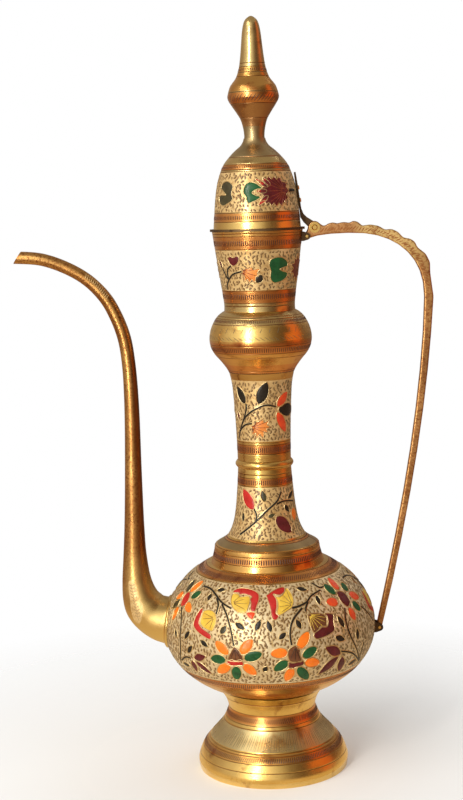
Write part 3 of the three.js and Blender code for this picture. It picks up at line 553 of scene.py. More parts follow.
def turned_skin(node, surface, body, slot, rim=None, lip=None, tang=None, metal=POLISHED):
    """A turned shell with its engraved lines and bands of tone."""
    lines = [surface.place(row) for row in GROOVES.get(node, ())]
    bands = BANDS.get(node, ())
    spans = [(surface.place(bottom), surface.place(top), look) for top, bottom, look in bands]
    rows = skin_rows(surface, lines, [edge for span in spans for edge in span[:2]])
    sink = np.zeros(len(rows))
    for line in lines:
        cut = np.clip(1 - np.abs(rows - line) / GROOVE_REACH, 0, 1)
        sink = np.maximum(sink, GROOVE_DEPTH * cut)
    r, z = surface.section(rows, -sink)
    section = list(zip(np.maximum(r, TINY), z)) + inner_wall(surface, rim, lip, tang)
    angles = np.arange(TURNED_SIDES) * TURN / TURNED_SIDES
    points = [
        (AXIS_X + radius * math.sin(angle), -radius * math.cos(angle), height)
        for radius, height in section
        for angle in angles
    ]
    faces = grid_faces(len(section), TURNED_SIDES, round_rows=True)
    row_looks = []
    for i in range(len(section)):
        look = SKIN_LOOKS.index(metal)
        if i < len(rows) - 1:
            middle = (rows[i] + rows[i + 1]) / 2
            for low, high, band_look in spans:
                if low <= middle <= high:
                    look = SKIN_LOOKS.index(band_look)
            if any(abs(middle - line) < GROOVE_REACH for line in lines):
                look = SKIN_LOOKS.index(GROOVE)
        row_looks += [look] * TURNED_SIDES
    pile = Pile()
    pile.add(points, faces, row_looks)
    piece = pile.build(node + "_skin", SKIN_LOOKS, SHELL_SHARP)
    return finish_piece(piece, body, slot, node)


# Work on the surfaces

TICK_LIFT = 0.09 * MM
TICK_FOOT = -0.05 * MM
TICK_SIDES = 8
TICK_SQUARENESS = 0.6
TICK_RISE = 0.46
CROWN_WIDTH = 0.85
CROWN_HEIGHT = 0.9


def squarish(wave):
    """A sine or cosine that stays near its ends for longer."""
    return np.sign(wave) * np.abs(wave) ** TICK_SQUARENESS


def roulette(pile, surface, top_row, bottom_row, pitch_mm, slant, share):
    """A row of small dark ticks side by side round a turned piece."""
    low, high = surface.place(bottom_row), surface.place(top_row)
    middle = (low + high) / 2
    radius = float(surface.radius(middle))
    count = int(round(TURN * radius / (pitch_mm * MM)))
    turn = np.arange(TICK_SIDES) * TURN / TICK_SIDES + TURN / (2 * TICK_SIDES)
    side = squarish(np.cos(turn)) * pitch_mm * MM * share
    rise = squarish(np.sin(turn)) * (high - low) * TICK_RISE
    centres = (np.arange(count) * TURN / count)[:, None]
    ring = [tuple(range(TICK_SIDES, 2 * TICK_SIDES))]
    ring += [
        (k, (k + 1) % TICK_SIDES, TICK_SIDES + (k + 1) % TICK_SIDES, TICK_SIDES + k)
        for k in range(TICK_SIDES)
    ]
    rings = []
    for wide, tall, lift in ((1, 1, TICK_FOOT), (CROWN_WIDTH, CROWN_HEIGHT, TICK_LIFT)):
        angle = centres + (wide * side + slant * tall * rise) / radius
        rings.append(surface.points(angle, middle + tall * rise, lift).reshape(count, -1, 3))
    faces = [tuple(i + tick * 2 * TICK_SIDES for i in face) for tick in range(count) for face in ring]
    pile.add(np.concatenate(rings, 1), faces)


STRIP_SHARES = (-0.5, -0.3, 0, 0.3, 0.5)
SHOULDER_HEIGHT = 0.75


def strip(pile, surface, path, width, lift, look=0, closed=False):
    """A low half-round line along a path of (angle, along) places."""
    path = np.asarray(path, float)
    middle = path.mean(0)
    radius = float(surface.radius(middle[1]))
    flat = (path - middle) * (radius, 1)
    ahead = np.roll(flat, -1, 0) - np.roll(flat, 1, 0) if closed else np.gradient(flat, axis=0)
    ahead /= np.maximum(np.linalg.norm(ahead, axis=1, keepdims=True), 1e-9)
    across = np.stack([ahead[:, 1], -ahead[:, 0]], 1)
    width = np.broadcast_to(np.asarray(width, float), len(flat))[:, None]
    heights = (BURIED, SHOULDER_HEIGHT * lift, lift, SHOULDER_HEIGHT * lift, BURIED)
    rows = []
    for share, height in zip(STRIP_SHARES, heights):
        place = (flat + across * width * share) / (radius, 1) + middle
        rows.append(surface.points(place[:, 0], place[:, 1], height))
    points = np.stack(rows, 1)
    faces = grid_faces(len(flat), len(rows), round_rows=closed, round_columns=False)
    pile.add(points, faces, look)


HATCH_LIFT = 0.07 * MM
HATCH_TAPER = np.array([0.4, 1, 1.1, 0.9, 0.4])
HATCH_JITTER = 0.25
HATCH_RAGGED = 0.15


def hatching(pile, surface, top_row, bottom_row, spacing_mm, slant, width_mm, rng):
    """Cut lines side by side round a turned piece; a slant of 1 leans them by 45 degrees."""
    low, high = surface.place(bottom_row), surface.place(top_row)
    radius = float(surface.radius((low + high) / 2))
    count = int(TURN * radius / (spacing_mm * MM))
    for centre in (np.arange(count) + rng.uniform(-HATCH_JITTER, HATCH_JITTER, count)) * TURN / count:
        start = low + (high - low) * rng.uniform(0, HATCH_RAGGED)
        end = high - (high - low) * rng.uniform(0, HATCH_RAGGED)
        along = np.linspace(start, end, len(HATCH_TAPER))
        angle = centre + (along - (low + high) / 2) * slant / radius
        strip(pile, surface, np.stack([angle, along], 1), width_mm * MM * HATCH_TAPER, HATCH_LIFT)


def inside(points, outline):
    """Which of many points lie inside a closed outline."""
    x, y = points[:, 0], points[:, 1]
    found = np.zeros(len(points), bool)
    for (x1, y1), (x2, y2) in zip(outline, np.roll(outline, -1, 0)):
        if y1 == y2:
            continue
        crosses = ((y1 > y) != (y2 > y)) & (x < (x2 - x1) * (y - y1) / (y2 - y1) + x1)
        found ^= crosses
    return found


ENAMEL_CROWN = 0.32 * MM
ENAMEL_EDGE = 0.55
ENAMEL_SLOPE = 4
EDGE_DEPTH = 0.05
RIM_WIDTH = 0.85 * MM
RIM_LIFT = 0.38 * MM
RIB_WIDTH = 0.7 * MM
RIB_LIFT = 0.46 * MM
CELL_SPACING = 0.8
CELL_GRID = 1.1
CELL_CLEARANCE = 0.45


def distances(points, edge):
    """How far each point lies from the nearest one of an edge."""
    return np.linalg.norm(points[:, None] - edge[None], axis=2).min(1)


def filled(outline):
    """Points and triangles that fill a closed outline, how deep inside it each point lies, and
    the outline itself with even steps. Its unit is about a millimetre."""
    edge = respaced(outline, CELL_SPACING, closed=True)
    grid = grid_points(edge.min(0), edge.max(0), CELL_GRID)
    grid = grid[inside(grid, edge)]
    grid = grid[distances(grid, edge) > CELL_CLEARANCE]
    outline = list(range(len(edge)))
    flat, faces = triangulated(np.vstack([edge, grid]), [], [outline], INNER_TRIANGLES, 1e-4)
    return flat, faces, distances(flat, edge), edge


def enamel_cell(enamel, rims, surface, outline, look):
    """A cell of enamel with a domed top, inside a thin raised rim of brass."""
    outline = np.asarray(outline, float)
    middle = outline.mean(0)
    scale = np.array([float(surface.radius(middle[1])), 1]) / MM
    flat, faces, depth, edge = filled((outline - middle) * scale)
    place = flat / scale + middle
    dome = ENAMEL_CROWN * np.clip(ENAMEL_EDGE + depth / ENAMEL_SLOPE, 0, 1)
    lift = np.where(depth < EDGE_DEPTH, BURIED, dome)
    enamel.add(surface.points(place[:, 0], place[:, 1], lift), faces, ENAMEL_ORDER.index(look))
    strip(rims, surface, edge / scale + middle, RIM_WIDTH, RIM_LIFT, closed=True)


CELL_STEPS = 4
LEAF_STEPS = 13
VINE_STEPS = 8
VINE_WIDTH = 1.9
RIB_SHARES = np.linspace(0.1, 0.95, 8)[:, None]
BLUNT = (0.9, 0.55)
POINTED = (0.9, 1.0)


class Band:
    """A pale band of enamel flowers on a chased ground, on one surface. What is drawn on it is
    kept as (kind, path, look or width); a path holds places on the surface."""

    def __init__(self, surface, top_row, bottom_row):
        self.surface = surface
        self.low = surface.place(bottom_row)
        self.high = surface.place(top_row)
        self.items = []

    def at(self, pixel):
        return np.array(self.surface.at_pixel(*pixel))

    def copies(self, start, *degrees):
        """Repeats what was drawn since the item numbered start at other angles."""
        fresh = self.items[start:]
        for turn in np.radians(degrees):
            self.items += [(kind, path + (turn, 0), extra) for kind, path, extra in fresh]

    def draw(self, drawing):
        """Draws rows of a drawing; each starts with the name of what is drawn."""
        kinds = {
            "cell": self.cell, "petal": self.petal, "fan": self.fan, "burst": self.burst,
            "vine": self.vine, "ribs": self.ribs,
        }
        for kind, *details in drawing:
            kinds[kind](*details)

    def cell(self, look, pixels):
        """An enamel cell whose rounded outline goes through pixels of the photograph."""
        knots = np.array([self.at(p) for p in pixels])
        self.items.append(("cell", closed_spline(knots, CELL_STEPS), look))

    def petal(self, look, base, tip, width_mm, fullness=0.85, point=0.9):
        """A leaf or petal between two pixels; the smaller its point, the rounder its ends."""
        base, tip = self.at(base), self.at(tip)
        scale = np.array([float(self.surface.radius((base[1] + tip[1]) / 2)), 1])
        axis = (tip - base) * scale
        across = np.array([axis[1], -axis[0]]) / max(np.linalg.norm(axis), 1e-6)
        shares = np.linspace(0, 1, LEAF_STEPS)
        half = width_mm * MM / 2 * np.sin(math.pi * shares**fullness).clip(0) ** point
        middle = base * scale + axis * shares[:, None]
        right = middle + across * half[:, None]
        left = middle - across * half[:, None]
        self.items.append(("cell", np.vstack([right, left[-2:0:-1]]) / scale, look))

    def rib(self, look, start, tip):
        self.items.append(("rib", start + (tip - start) * RIB_SHARES, look))

    def burst(self, look, rib_look, turn, pixel, tip_mm, notch_mm, count):
        """A round flower with a jagged edge and fine lines towards its points. It stands at an
        angle round the piece, level with a pixel."""
        centre = np.array([turn, self.at(pixel)[1]])
        scale = np.array([float(self.surface.radius(centre[1])), 1]) / MM
        corner = np.arange(2 * count)
        angle = corner * math.pi / count
        reach = np.where(corner % 2, notch_mm, tip_mm)[:, None]
        edge = centre + np.stack([np.cos(angle), np.sin(angle)], 1) * reach / scale
        self.items.append(("cell", edge, look))
        for tip in edge[::2]:
            self.rib(rib_look, centre, tip)

    def fan(self, look, rib_look, base, edge):
        """A cell with points and notches in turn, and fine lines from its base to the points."""
        self.items.append(("cell", np.array([self.at(p) for p in edge]), look))
        self.ribs(rib_look, base, *edge[::2])

    def vine(self, width_mm, *pixels):
        knots = np.array([self.at(p) for p in pixels])
        self.items.append(("vine", spline(knots, VINE_STEPS), width_mm * MM))

    def ribs(self, look, base, *tips):
        """Fine raised lines that spread over a cell."""
        start = self.at(base)
        for tip in tips:
            self.rib(look, start, self.at(tip))


STROKE_SPACING = 3.1 * MM
STROKE_LENGTH = 3.2 * MM
STROKE_WIDTH = 0.9 * MM
STROKE_SIDES = 8
STROKE_ROOM = 1.1 * MM
STROKE_LEANS = (0.9, 2.2, 1.5)
STROKE_BOW = 0.9
STROKE_JITTER = 0.3
STROKE_ROWS = 0.9
LEAN_SPREAD = 0.5
LENGTH_SPREAD = (0.6, 1.15)
WIDTH_SPREAD = (0.7, 1.2)
BOW_SPREAD = (0.4, 1)
# The brown patch of painted shade, moved to one side of each stroke, and the dark stroke over it: number
# of the look, longer, wider, moved aside, lift
STROKE_LAYERS = ((1, 1.15, 2.2, 0.4, 0.03 * MM), (0, 1, 1, 0, 0.06 * MM))


def clear_places(band, outlines, rng):
    """Scattered places all over a band's ground, clear of its enamel."""
    surface = band.surface
    first, last = band.low + 0.5 * STROKE_SPACING, band.high - 0.3 * STROKE_SPACING
    places = []
    for row in np.arange(first, last, STROKE_SPACING * STROKE_ROWS):
        count = int(TURN * float(surface.radius(row)) / STROKE_SPACING)
        start = rng.uniform(0, 1)
        aside = rng.uniform(-STROKE_JITTER, STROKE_JITTER, count)
        angle = (np.arange(count) + start + aside) * TURN / count
        along = row + rng.uniform(-STROKE_JITTER, STROKE_JITTER, count) * STROKE_SPACING
        places.append(np.stack([(angle + math.pi) % TURN - math.pi, along], 1))
    places = np.vstack(places)
    free = np.ones(len(places), bool)
    for outline in outlines:
        centre = outline.mean(0)
        radius = float(surface.radius(centre[1]))
        room = STROKE_ROOM / np.array([radius, 1])
        away = outline - centre
        grown = centre + away * (1 + room / np.maximum(np.abs(away).max(0), 1e-6))
        for turn in (-TURN, 0, TURN):
            shifted = grown + (turn, 0)
            near = free & np.all((places >= shifted.min(0)) & (places <= shifted.max(0)), axis=1)
            picks = np.nonzero(near)[0]
            if len(picks):
                free[picks[inside(places[picks], shifted)]] = False
    return places[free]


def chased_strokes(pile, band, outlines, rng):
    """Short bowed strokes punched all over a band's ground, each dark over a brown patch of painted shade
    that lies to one side of it.
    """
    places = clear_places(band, outlines, rng)
    count = len(places)
    lean = (rng.choice(STROKE_LEANS, count) + rng.uniform(-LEAN_SPREAD, LEAN_SPREAD, count))[:, None]
    length = STROKE_LENGTH * rng.uniform(*LENGTH_SPREAD, count)[:, None]
    width = STROKE_WIDTH * rng.uniform(*WIDTH_SPREAD, count)[:, None]
    bow = rng.choice([-STROKE_BOW, STROKE_BOW], count)[:, None] * rng.uniform(*BOW_SPREAD, count)[:, None]
    turn = np.arange(STROKE_SIDES) * TURN / STROKE_SIDES
    radius = band.surface.radius(places[:, 1])[:, None]
    faces = [tuple(range(STROKE_SIDES * i, STROKE_SIDES * (i + 1))) for i in range(count)]
    for look, longer, wider, aside, lift in STROKE_LAYERS:
        forward = np.cos(turn) / 2 * length * longer
        across = (np.sin(turn) / 2 * wider + aside) * width + bow * (forward**2) / length
        angle = places[:, :1] + (forward * np.cos(lean) - across * np.sin(lean)) / radius
        along = places[:, 1:] + forward * np.sin(lean) + across * np.cos(lean)
        along = np.clip(along, band.low, band.high)
        pile.add(band.surface.points(angle, along, lift), faces, look)


VINE_TAPER = (1.1, 0.9)
VINE_LIFT = 0.34 * MM
VINE_EDGE = 1.0 * MM
VINE_EDGE_LIFT = 0.14 * MM
RIB_TAPER = (1.2, 0.6)


def enamel_band(name, band, body, seed):
    """Makes the enamel, the rims and the chasing of a band."""
    enamel, rims, chasing = Pile(), Pile(), Pile()
    for kind, path, extra in band.items:
        if kind == "cell":
            enamel_cell(enamel, rims, band.surface, path, extra)
        elif kind == "vine":
            taper = extra * np.linspace(*VINE_TAPER, len(path))
            strip(rims, band.surface, path, taper + VINE_EDGE, VINE_EDGE_LIFT)
            strip(enamel, band.surface, path, taper, VINE_LIFT, ENAMEL_ORDER.index("black"))
        else:
            width = RIB_WIDTH * np.linspace(*RIB_TAPER, len(path))
            strip(enamel, band.surface, path, width, RIB_LIFT, ENAMEL_ORDER.index(extra))
    outlines = [path for kind, path, extra in band.items if kind == "cell"]
    chased_strokes(chasing, band, outlines, np.random.default_rng(seed))
    enamels = [ENAMELS[look] for look in ENAMEL_ORDER]
    finish_piece(enamel.build(name + "_enamel", enamels, WORK_SHARP), body, "enamelled_brass")
    finish_piece(rims.build(name + "_rims", [RIM], RIM_SHARP), body, "polished_brass")
    strokes = chasing.build(name + "_chasing", [CHASING, SHADE_AND_MARK_BROWN], WORK_SHARP)
    finish_piece(strokes, body, "enamelled_brass")


# The turned pieces with their engraved rings

FINIAL_SEAT = 515 * MM
FOOT_RIM = 57.5 * MM
BELLY_LIP = 40 * MM
LID_BORE = 3.3 * MM
TANG_RADIUS = 3 * MM

foot = Surface("foot")
belly_lower = Surface("belly_lower", poles=[(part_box("belly_lower")[0].z, 0)])
belly_upper = Surface("belly_upper")
belly = Surface("belly_lower", "belly_upper")
collar = Surface("shoulder_collar")
neck_lower = Surface("neck_lower")
neck_upper = Surface("neck_upper")
bulb_lower = Surface("bulb_lower")
bulb_upper = Surface("bulb_upper")
cup = Surface("mouth_cup")
dome = Surface("lid_dome")
finial = Surface("finial", poles=[(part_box("finial")[1].z, 0)], bottom=FINIAL_SEAT)

# Bands of another tone: the rows of the photograph at which they start and end, from the top down
BANDS = {
    "foot": [(717, 726.5, COPPERED), (732, 753, HATCHED), (756, 765.5, LACQUERED)],
    "belly_lower": [(560, 684, GROUND), (684, 690, COPPERED), (690, 712, LACQUERED)],
    "belly_upper": [(575, 583.5, COPPERED), (585, 700, GROUND)],
    "shoulder_collar": [(539, 545, COPPERED), (545, 552, GREYED), (559.5, 566.5, COPPERED)],
    "neck_lower": [(479.5, 486.5, COPPERED), (488, 541, GOLDEN)],
    "neck_upper": [(381, 442, GOLDEN), (445.5, 454.5, COPPERED)],
    "bulb_lower": [(344, 354.5, COPPERED), (366, 380.5, COPPERED)],
    "bulb_upper": [(312, 326, PALE), (342, 350, LACQUERED)],
    "mouth_cup": [(236, 249, COPPERED), (250, 290.5, GOLDEN), (291.5, 303, COPPERED), (303, 312, PALE)],
    "lid_dome": [
        (134, 157, GREYED), (164, 168.8, COPPERED), (171.5, 211.5, GOLDEN), (213, 221, COPPERED),
        (221, 232, POLISHED),
    ],
    "finial": [
        (66.5, 71.3, LACQUERED), (72, 90, LACQUERED), (91.5, 102.5, COPPERED), (102.5, 145, BROWNED),
        (126, 145, GREYED),
    ],
}
# Rows of the cut lines
GROOVES = {
    "foot": [706.5, 716.7, 727.3, 731.2, 754.5, 757.5, 765.5, 774.3],
    "belly_lower": [684.3, 690.5, 698, 702],
    "belly_upper": [575, 584.3],
    "shoulder_collar": [539, 545.5, 553.5, 558.5, 567],
    "neck_lower": [475.5, 479, 487.3],
    "neck_ring": [459, 469],
    "neck_upper": [443.3, 446, 454.8],
    "bulb_lower": [347, 354.5, 358.7, 372, 380],
    "bulb_upper": [317.3, 319.7, 325.5],
    "mouth_cup": [233.7, 236.5, 249.5, 291.3, 303.5, 306.8],
    "lid_dome": [156.3, 163.7, 168.8, 171, 212.4, 221.5],
    "finial": [62.3, 66, 71.3, 75.5, 90.8, 102.5, 117.4],
}
# Rings of ticks: rows of their ends, distance from tick to tick in mm, slant, and share that is cut
ROULETTES = {
    "jug": [
        (foot, 719, 725.2, 1.75, 0.5, 0.26), (foot, 758.4, 764.5, 1.75, 0.25, 0.26),
        (belly, 577, 582.5, 1.7, 0.4, 0.26), (belly, 685, 689.6, 1.7, 0.2, 0.27),
        (collar, 539.9, 544, 1.8, 0.0, 0.28), (collar, 560, 566, 1.95, 0.0, 0.32),
        (neck_lower, 480.2, 486, 1.7, 0.0, 0.24), (neck_upper, 447, 453.8, 1.7, 0.0, 0.24),
        (bulb_lower, 348.4, 353.6, 1.75, 0.0, 0.24), (bulb_lower, 373.2, 378.4, 1.7, 0.0, 0.26),
        (bulb_upper, 320.4, 323.7, 1.5, 0.0, 0.26), (cup, 240, 246.5, 1.7, 0.0, 0.26),
        (cup, 294, 300, 1.7, 0.0, 0.26),
    ],
    "lid": [
        (dome, 165, 168, 1.5, 0.0, 0.26), (dome, 215, 219.6, 1.65, 0.0, 0.26),
        (finial, 67.2, 70.4, 1.5, 0.0, 0.24),
    ],
}

turned_skin("foot", foot, "jug", "polished_brass", rim=FOOT_RIM)
turned_skin("belly_lower", belly_lower, "jug", "enamelled_brass")
turned_skin("belly_upper", belly_upper, "jug", "enamelled_brass", lip=BELLY_LIP)
turned_skin("lid_dome", dome, "lid", "enamelled_brass", lip=LID_BORE, metal=PALE)
turned_skin(
    "finial", finial, "lid", "polished_brass", rim=TANG_RADIUS, tang=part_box("finial")[0].z, metal=PALE
)
for node, surface, body, slot, metal in (
    # The flange under the dome's rim is dark brass: painted shade
    ("lid_flange", Surface("lid_flange"), "lid", "polished_brass", PAINTED_SHADE),
    ("lid_collar", Surface("lid_collar"), "lid", "polished_brass", POLISHED),
    ("shoulder_collar", collar, "jug", "polished_brass", LACQUERED),
    ("neck_lower", neck_lower, "jug", "enamelled_brass", POLISHED),
    ("neck_ring", Surface("neck_ring"), "jug", "polished_brass", POLISHED),
    ("neck_upper", neck_upper, "jug", "enamelled_brass", POLISHED),
    ("bulb_lower", bulb_lower, "jug", "polished_brass", LACQUERED),
    ("bulb_upper", bulb_upper, "jug", "polished_brass", POLISHED),
    ("mouth_cup", cup, "jug", "enamelled_brass", LACQUERED),
):
    turned_skin(node, surface, body, slot, metal=metal)

for body, rows in ROULETTES.items():
    ticks = Pile()
    for row in rows:
        roulette(ticks, *row)
    finish_piece(ticks.build(body + "_roulette", [TICK], WORK_SHARP), body, "polished_brass")

# Rings of cut lines: rows of their ends, spacing in mm, slant, width in mm, and seed
HATCHINGS = {
    "jug": [
        (foot, 733, 752.5, 1.9, 0.12, 0.4, 21), (bulb_upper, 328.3, 334, 7.4, 0.45, 0.6, 22),
        (bulb_upper, 337, 341.5, 4.2, -1.5, 0.5, 23),
    ],
    "lid": [(finial, 92.5, 101.5, 2.7, 0.75, 0.9, 24)],
}
for body, look in (("jug", CUT_LINE), ("lid", TICK)):
    lines = Pile()
    for *row, seed in HATCHINGS[body]:
        hatching(lines, *row, np.random.default_rng(seed))
    finish_piece(lines.build(body + "_engraving", [look], WORK_SHARP), body, "dark_brass")


# Enamel flowers. Outlines and places are pixels of the photograph

TULIP_LEFT_CUP = (
    (233, 592), (239, 588), (250, 589), (258, 593), (259, 599), (257, 606), (255, 611), (251, 611),
    (251, 603), (250, 599), (252, 597), (248, 595), (243, 594), (240, 595), (239, 593),
)
TULIP_LEFT_FAN = (
    (233, 594), (238, 594), (241, 597), (247, 596), (250, 598), (249, 605), (246, 612), (241, 613),
    (236, 611), (232, 606), (231, 600),
)
TULIP_LEFT_SEPAL = ((246, 613), (255, 612.5), (252, 619.5))
TULIP_RIGHT_CUP = (
    (267, 595), (276, 589), (284, 587), (284, 592), (279, 595), (273, 594), (276, 598), (277, 606),
    (276, 613), (279, 616), (276, 620), (272, 618), (270, 607), (267, 598),
)
TULIP_RIGHT_FAN = (
    (274, 595), (279, 597), (284, 593), (286.5, 588), (291, 593), (293.5, 600), (292, 607),
    (287, 611), (280, 615), (277, 613), (278, 606), (277, 600),
)
DROOPING_LEFT_CUP = (
    (202, 608), (203, 611), (201, 616), (199, 623), (202, 628), (206, 631), (211, 635), (210, 639.5),
    (203, 636), (196, 630), (193.5, 624.5), (196, 616),
)
DROOPING_LEFT_FAN = (
    (204, 611), (210, 610), (215, 613), (216.5, 619), (215, 626), (212, 631), (206, 629),
    (202, 625.5), (200.5, 622), (202, 616),
)
DROOPING_RIGHT_CUP = (
    (324, 613.5), (333, 614), (333.5, 621), (335, 629), (331, 633.5), (325, 636.5), (316.5, 639),
    (314, 634), (320, 629), (322, 627), (327, 626.5), (328, 621), (327, 616),
)
DROOPING_RIGHT_FAN = (
    (308, 615), (313, 613), (321, 613.5), (326, 616.5), (327, 621), (326, 626), (321, 626),
    (319, 629), (315, 632.5), (312, 630), (309, 622),
)
BUD_LEFT = ((235, 647), (231, 652), (228, 660), (236, 661.5), (243, 660.5), (241, 653.5))
BUD_LEFT_BASE = (
    (225.5, 662.5), (231.5, 659.5), (236, 661), (241, 659.5), (244, 665.5), (238, 665.5), (231, 665.8),
)
BUD_RIGHT = (
    (288.5, 650), (295, 645.5), (300, 648), (300, 655), (302, 661), (296, 662), (290, 661), (288, 656),
)
BUD_RIGHT_BASE = (
    (288, 662.5), (292, 663), (297, 662.3), (303, 660.8), (303.5, 665), (297, 666.8), (290, 669.2),
)
SIDE_LEFT_HEART = ((181, 606), (182.5, 599), (186, 593.5), (190, 592), (189.5, 598), (186, 604.5))
SIDE_RIGHT_HEART = (
    (336.5, 593), (339, 591), (344, 592.5), (348, 597), (350, 602), (348, 606.5), (344.5, 605),
    (340, 600),
)

LEAVES = (
    ((217, 589.7), (226.5, 589.9)), ((211.5, 593), (208, 601.5)), ((235, 622.5), (245.5, 630)),
    ((255.5, 631.5), (261, 619)), ((271.5, 633), (267.2, 619.5)), ((278.5, 639.5), (287, 632)),
    ((295.7, 587.9), (308.3, 590)), ((316, 594.5), (320, 605.5)), ((301.5, 629), (295.7, 618.8)),
    ((263.5, 672), (267.4, 666)),
)
VINES = (
    ((204, 586), (211, 589), (216, 595), (220.5, 601), (226, 605.5), (231.5, 608.5)),
    ((217, 598), (218.5, 605), (216.4, 614)),
    ((222, 604), (226.5, 614), (229.7, 625), (232, 635), (234, 646)),
    ((292, 608), (299, 606), (306.5, 602), (311.5, 595.5), (320, 590)),
    ((308, 602), (306, 606.5), (305.6, 611.5)),
    ((302, 608), (295, 616.5), (291, 625), (290, 635), (291.5, 645)),
    ((311.5, 582.8), (319.5, 587.4), (324, 586)),
)
LOWER_LEFT_PETALS = (
    ("orange", (228.5, 654.5), (215.5, 641)), ("orange", (240.5, 654), (252.7, 639)),
    ("green", (244, 659), (262.5, 653.3)), ("orange", (243.5, 664), (256.5, 675)),
    ("green", (237, 666), (236.6, 680)), ("orange", (230, 664), (218, 673)),
    ("green", (226, 659.6), (210.5, 658.7)),
)
LOWER_RIGHT_PETALS = (
    ("orange", (288, 652.5), (270.3, 653.9)), ("orange", (298, 649), (308.7, 631.5)),
    ("green", (302.5, 657), (317.4, 647.4)), ("orange", (304.5, 662), (320, 663)),
    ("green", (297.7, 667), (308, 679.4)), ("orange", (292, 667.5), (286.3, 681.4)),
    ("green", (288.4, 661), (273.8, 670.8)),
)
SIDE_LEFT_PETALS = (
    ("olive", (187, 592.5), (195.3, 579)), ("orange", (190, 592), (204, 580.5)),
    ("green", (191, 597), (201.8, 592.2)),
    ("orange", (186.6, 603), (191.2, 611.8)), ("orange", (184, 593), (176.4, 598.4)),
    ("olive", (180.4, 600.5), (172.2, 607.5)), ("orange", (179, 607), (172.2, 620)),
)
SIDE_RIGHT_PETALS = (
    ("scarlet", (339, 590), (327.4, 577.6)), ("green", (336, 594.5), (323.2, 583.9)),
    ("scarlet", (338, 601.3), (326, 602.6)), ("green", (346.4, 591.6), (342, 582)),
    ("scarlet", (348.6, 594.4), (359, 596.8)), ("green", (351.5, 602), (361, 610)),
    ("scarlet", (348.3, 607.6), (355.6, 620.2)),
)
SIDE_LEFT_LEAVES = (
    ((184, 639.3), (190.8, 630)), ((177, 638.3), (175.2, 628)), ((199.8, 640), (209, 647.2)),
    ((187.4, 653), (192.9, 645.2)), ((183.2, 663.3), (190.5, 665.5)),
)
SIDE_LEFT_BUDS = (
    ((194, 658.5), (206.2, 656)), ((195.5, 661), (213.4, 675)), ((192.8, 660), (197.4, 672.3)),
)
SIDE_RIGHT_LEAVES = (
    ((344.6, 627.9), (337, 615.4)), ((357.8, 640.2), (356.6, 627.5)), ((335, 636.8), (345.2, 639.8)),
    ((356.4, 659.4), (347.3, 664.8)),
)
SIDE_RIGHT_BUDS = (
    ((341, 653.5), (325, 647.4)), ((338.5, 656), (317, 674.8)), ((341.8, 656.3), (338.7, 672)),
)

LID_DARK_LEAF = (
    (223.5, 183), (228, 181.5), (232.5, 185), (232.7, 189), (231.5, 194), (232.7, 199.5), (228, 203.5),
    (223, 206), (219.5, 202), (219.5, 197), (221.5, 195.3), (226, 195), (222.5, 190), (221, 188),
)
LID_GREEN_LEAF = (
    (244, 187.5), (246.5, 183.5), (250.5, 182), (255, 183), (259, 185.5), (262, 188), (256, 189.5),
    (252, 192.8), (256, 195.5), (261, 196.5), (257, 200), (252.5, 202), (248.6, 203.5), (246.7, 200.5),
    (246, 196.5), (243.3, 192.8),
)
LID_FLOWER = (
    (257.5, 181), (263, 182), (263.1, 176.7), (266, 179.8), (268.5, 175.9), (271.5, 179.3),
    (274.2, 175.6), (276.5, 179.5), (279, 176.4), (281.5, 181.5), (286.4, 182.3), (286, 186.5),
    (289, 190.5), (286.5, 194), (287.6, 198.5), (284.5, 201), (286.3, 205.2), (283.5, 202.5),
    (281.5, 206), (279, 202.8), (276.2, 206.4), (274, 202.5), (271.6, 206.2), (269, 202),
    (265.5, 205.5), (265, 200.5), (259.5, 201.5), (263.5, 195.3), (258, 191.5), (263.5, 187),
)
LID_PETALS = (
    ((268, 187), (255, 178.5)), ((267, 190.8), (254, 191.6)), ((268, 195.5), (258, 206)),
    ((270, 186), (262, 177)),
)
CUP_BUD = (
    (227.6, 258.7), (230.3, 256.6), (233, 257.8), (236.6, 256), (239.2, 258.7), (237, 264),
    (233.4, 266.2), (230, 264),
)
CUP_FAN = (
    (242.4, 270.8), (244.5, 270.6), (247, 267.8), (249.2, 268.6), (251.3, 266.4), (253, 269.5),
    (260.8, 268.5), (257, 273), (258.5, 276.5), (255.8, 276.8), (255.5, 283.8), (252, 279.5),
    (249.2, 284), (248, 279), (243.9, 282.6), (245, 277),
)
NECK_FAN = (
    (251.7, 426), (255, 424.5), (257, 421.8), (260, 421.5), (263.6, 418.2), (264, 422.5),
    (269.5, 420.3), (267, 425), (271.5, 427.5), (266.5, 429), (267.6, 433), (264, 431.5),
    (263.6, 439), (260, 434), (256, 438.5), (256.5, 433), (251.8, 434.7), (253.5, 430.5),
)
NECK_STEM = ((239, 439), (243, 422), (249, 413.6), (258.6, 407.6), (267, 405.2), (275.6, 406.6))
CUP_GREEN_LEAF = (
    (277.6, 257), (283, 257.6), (287.5, 262), (287, 266), (283, 267.6), (280, 269.2), (283.5, 271.2),
    (287, 272.4), (287, 275.8), (283.4, 279.8), (277.6, 282.4), (273, 282.3), (270.2, 277.6),
    (270.8, 271.3), (269.2, 265), (271, 259.5),
)

CUP_FLOWER_TURN = math.radians(71)

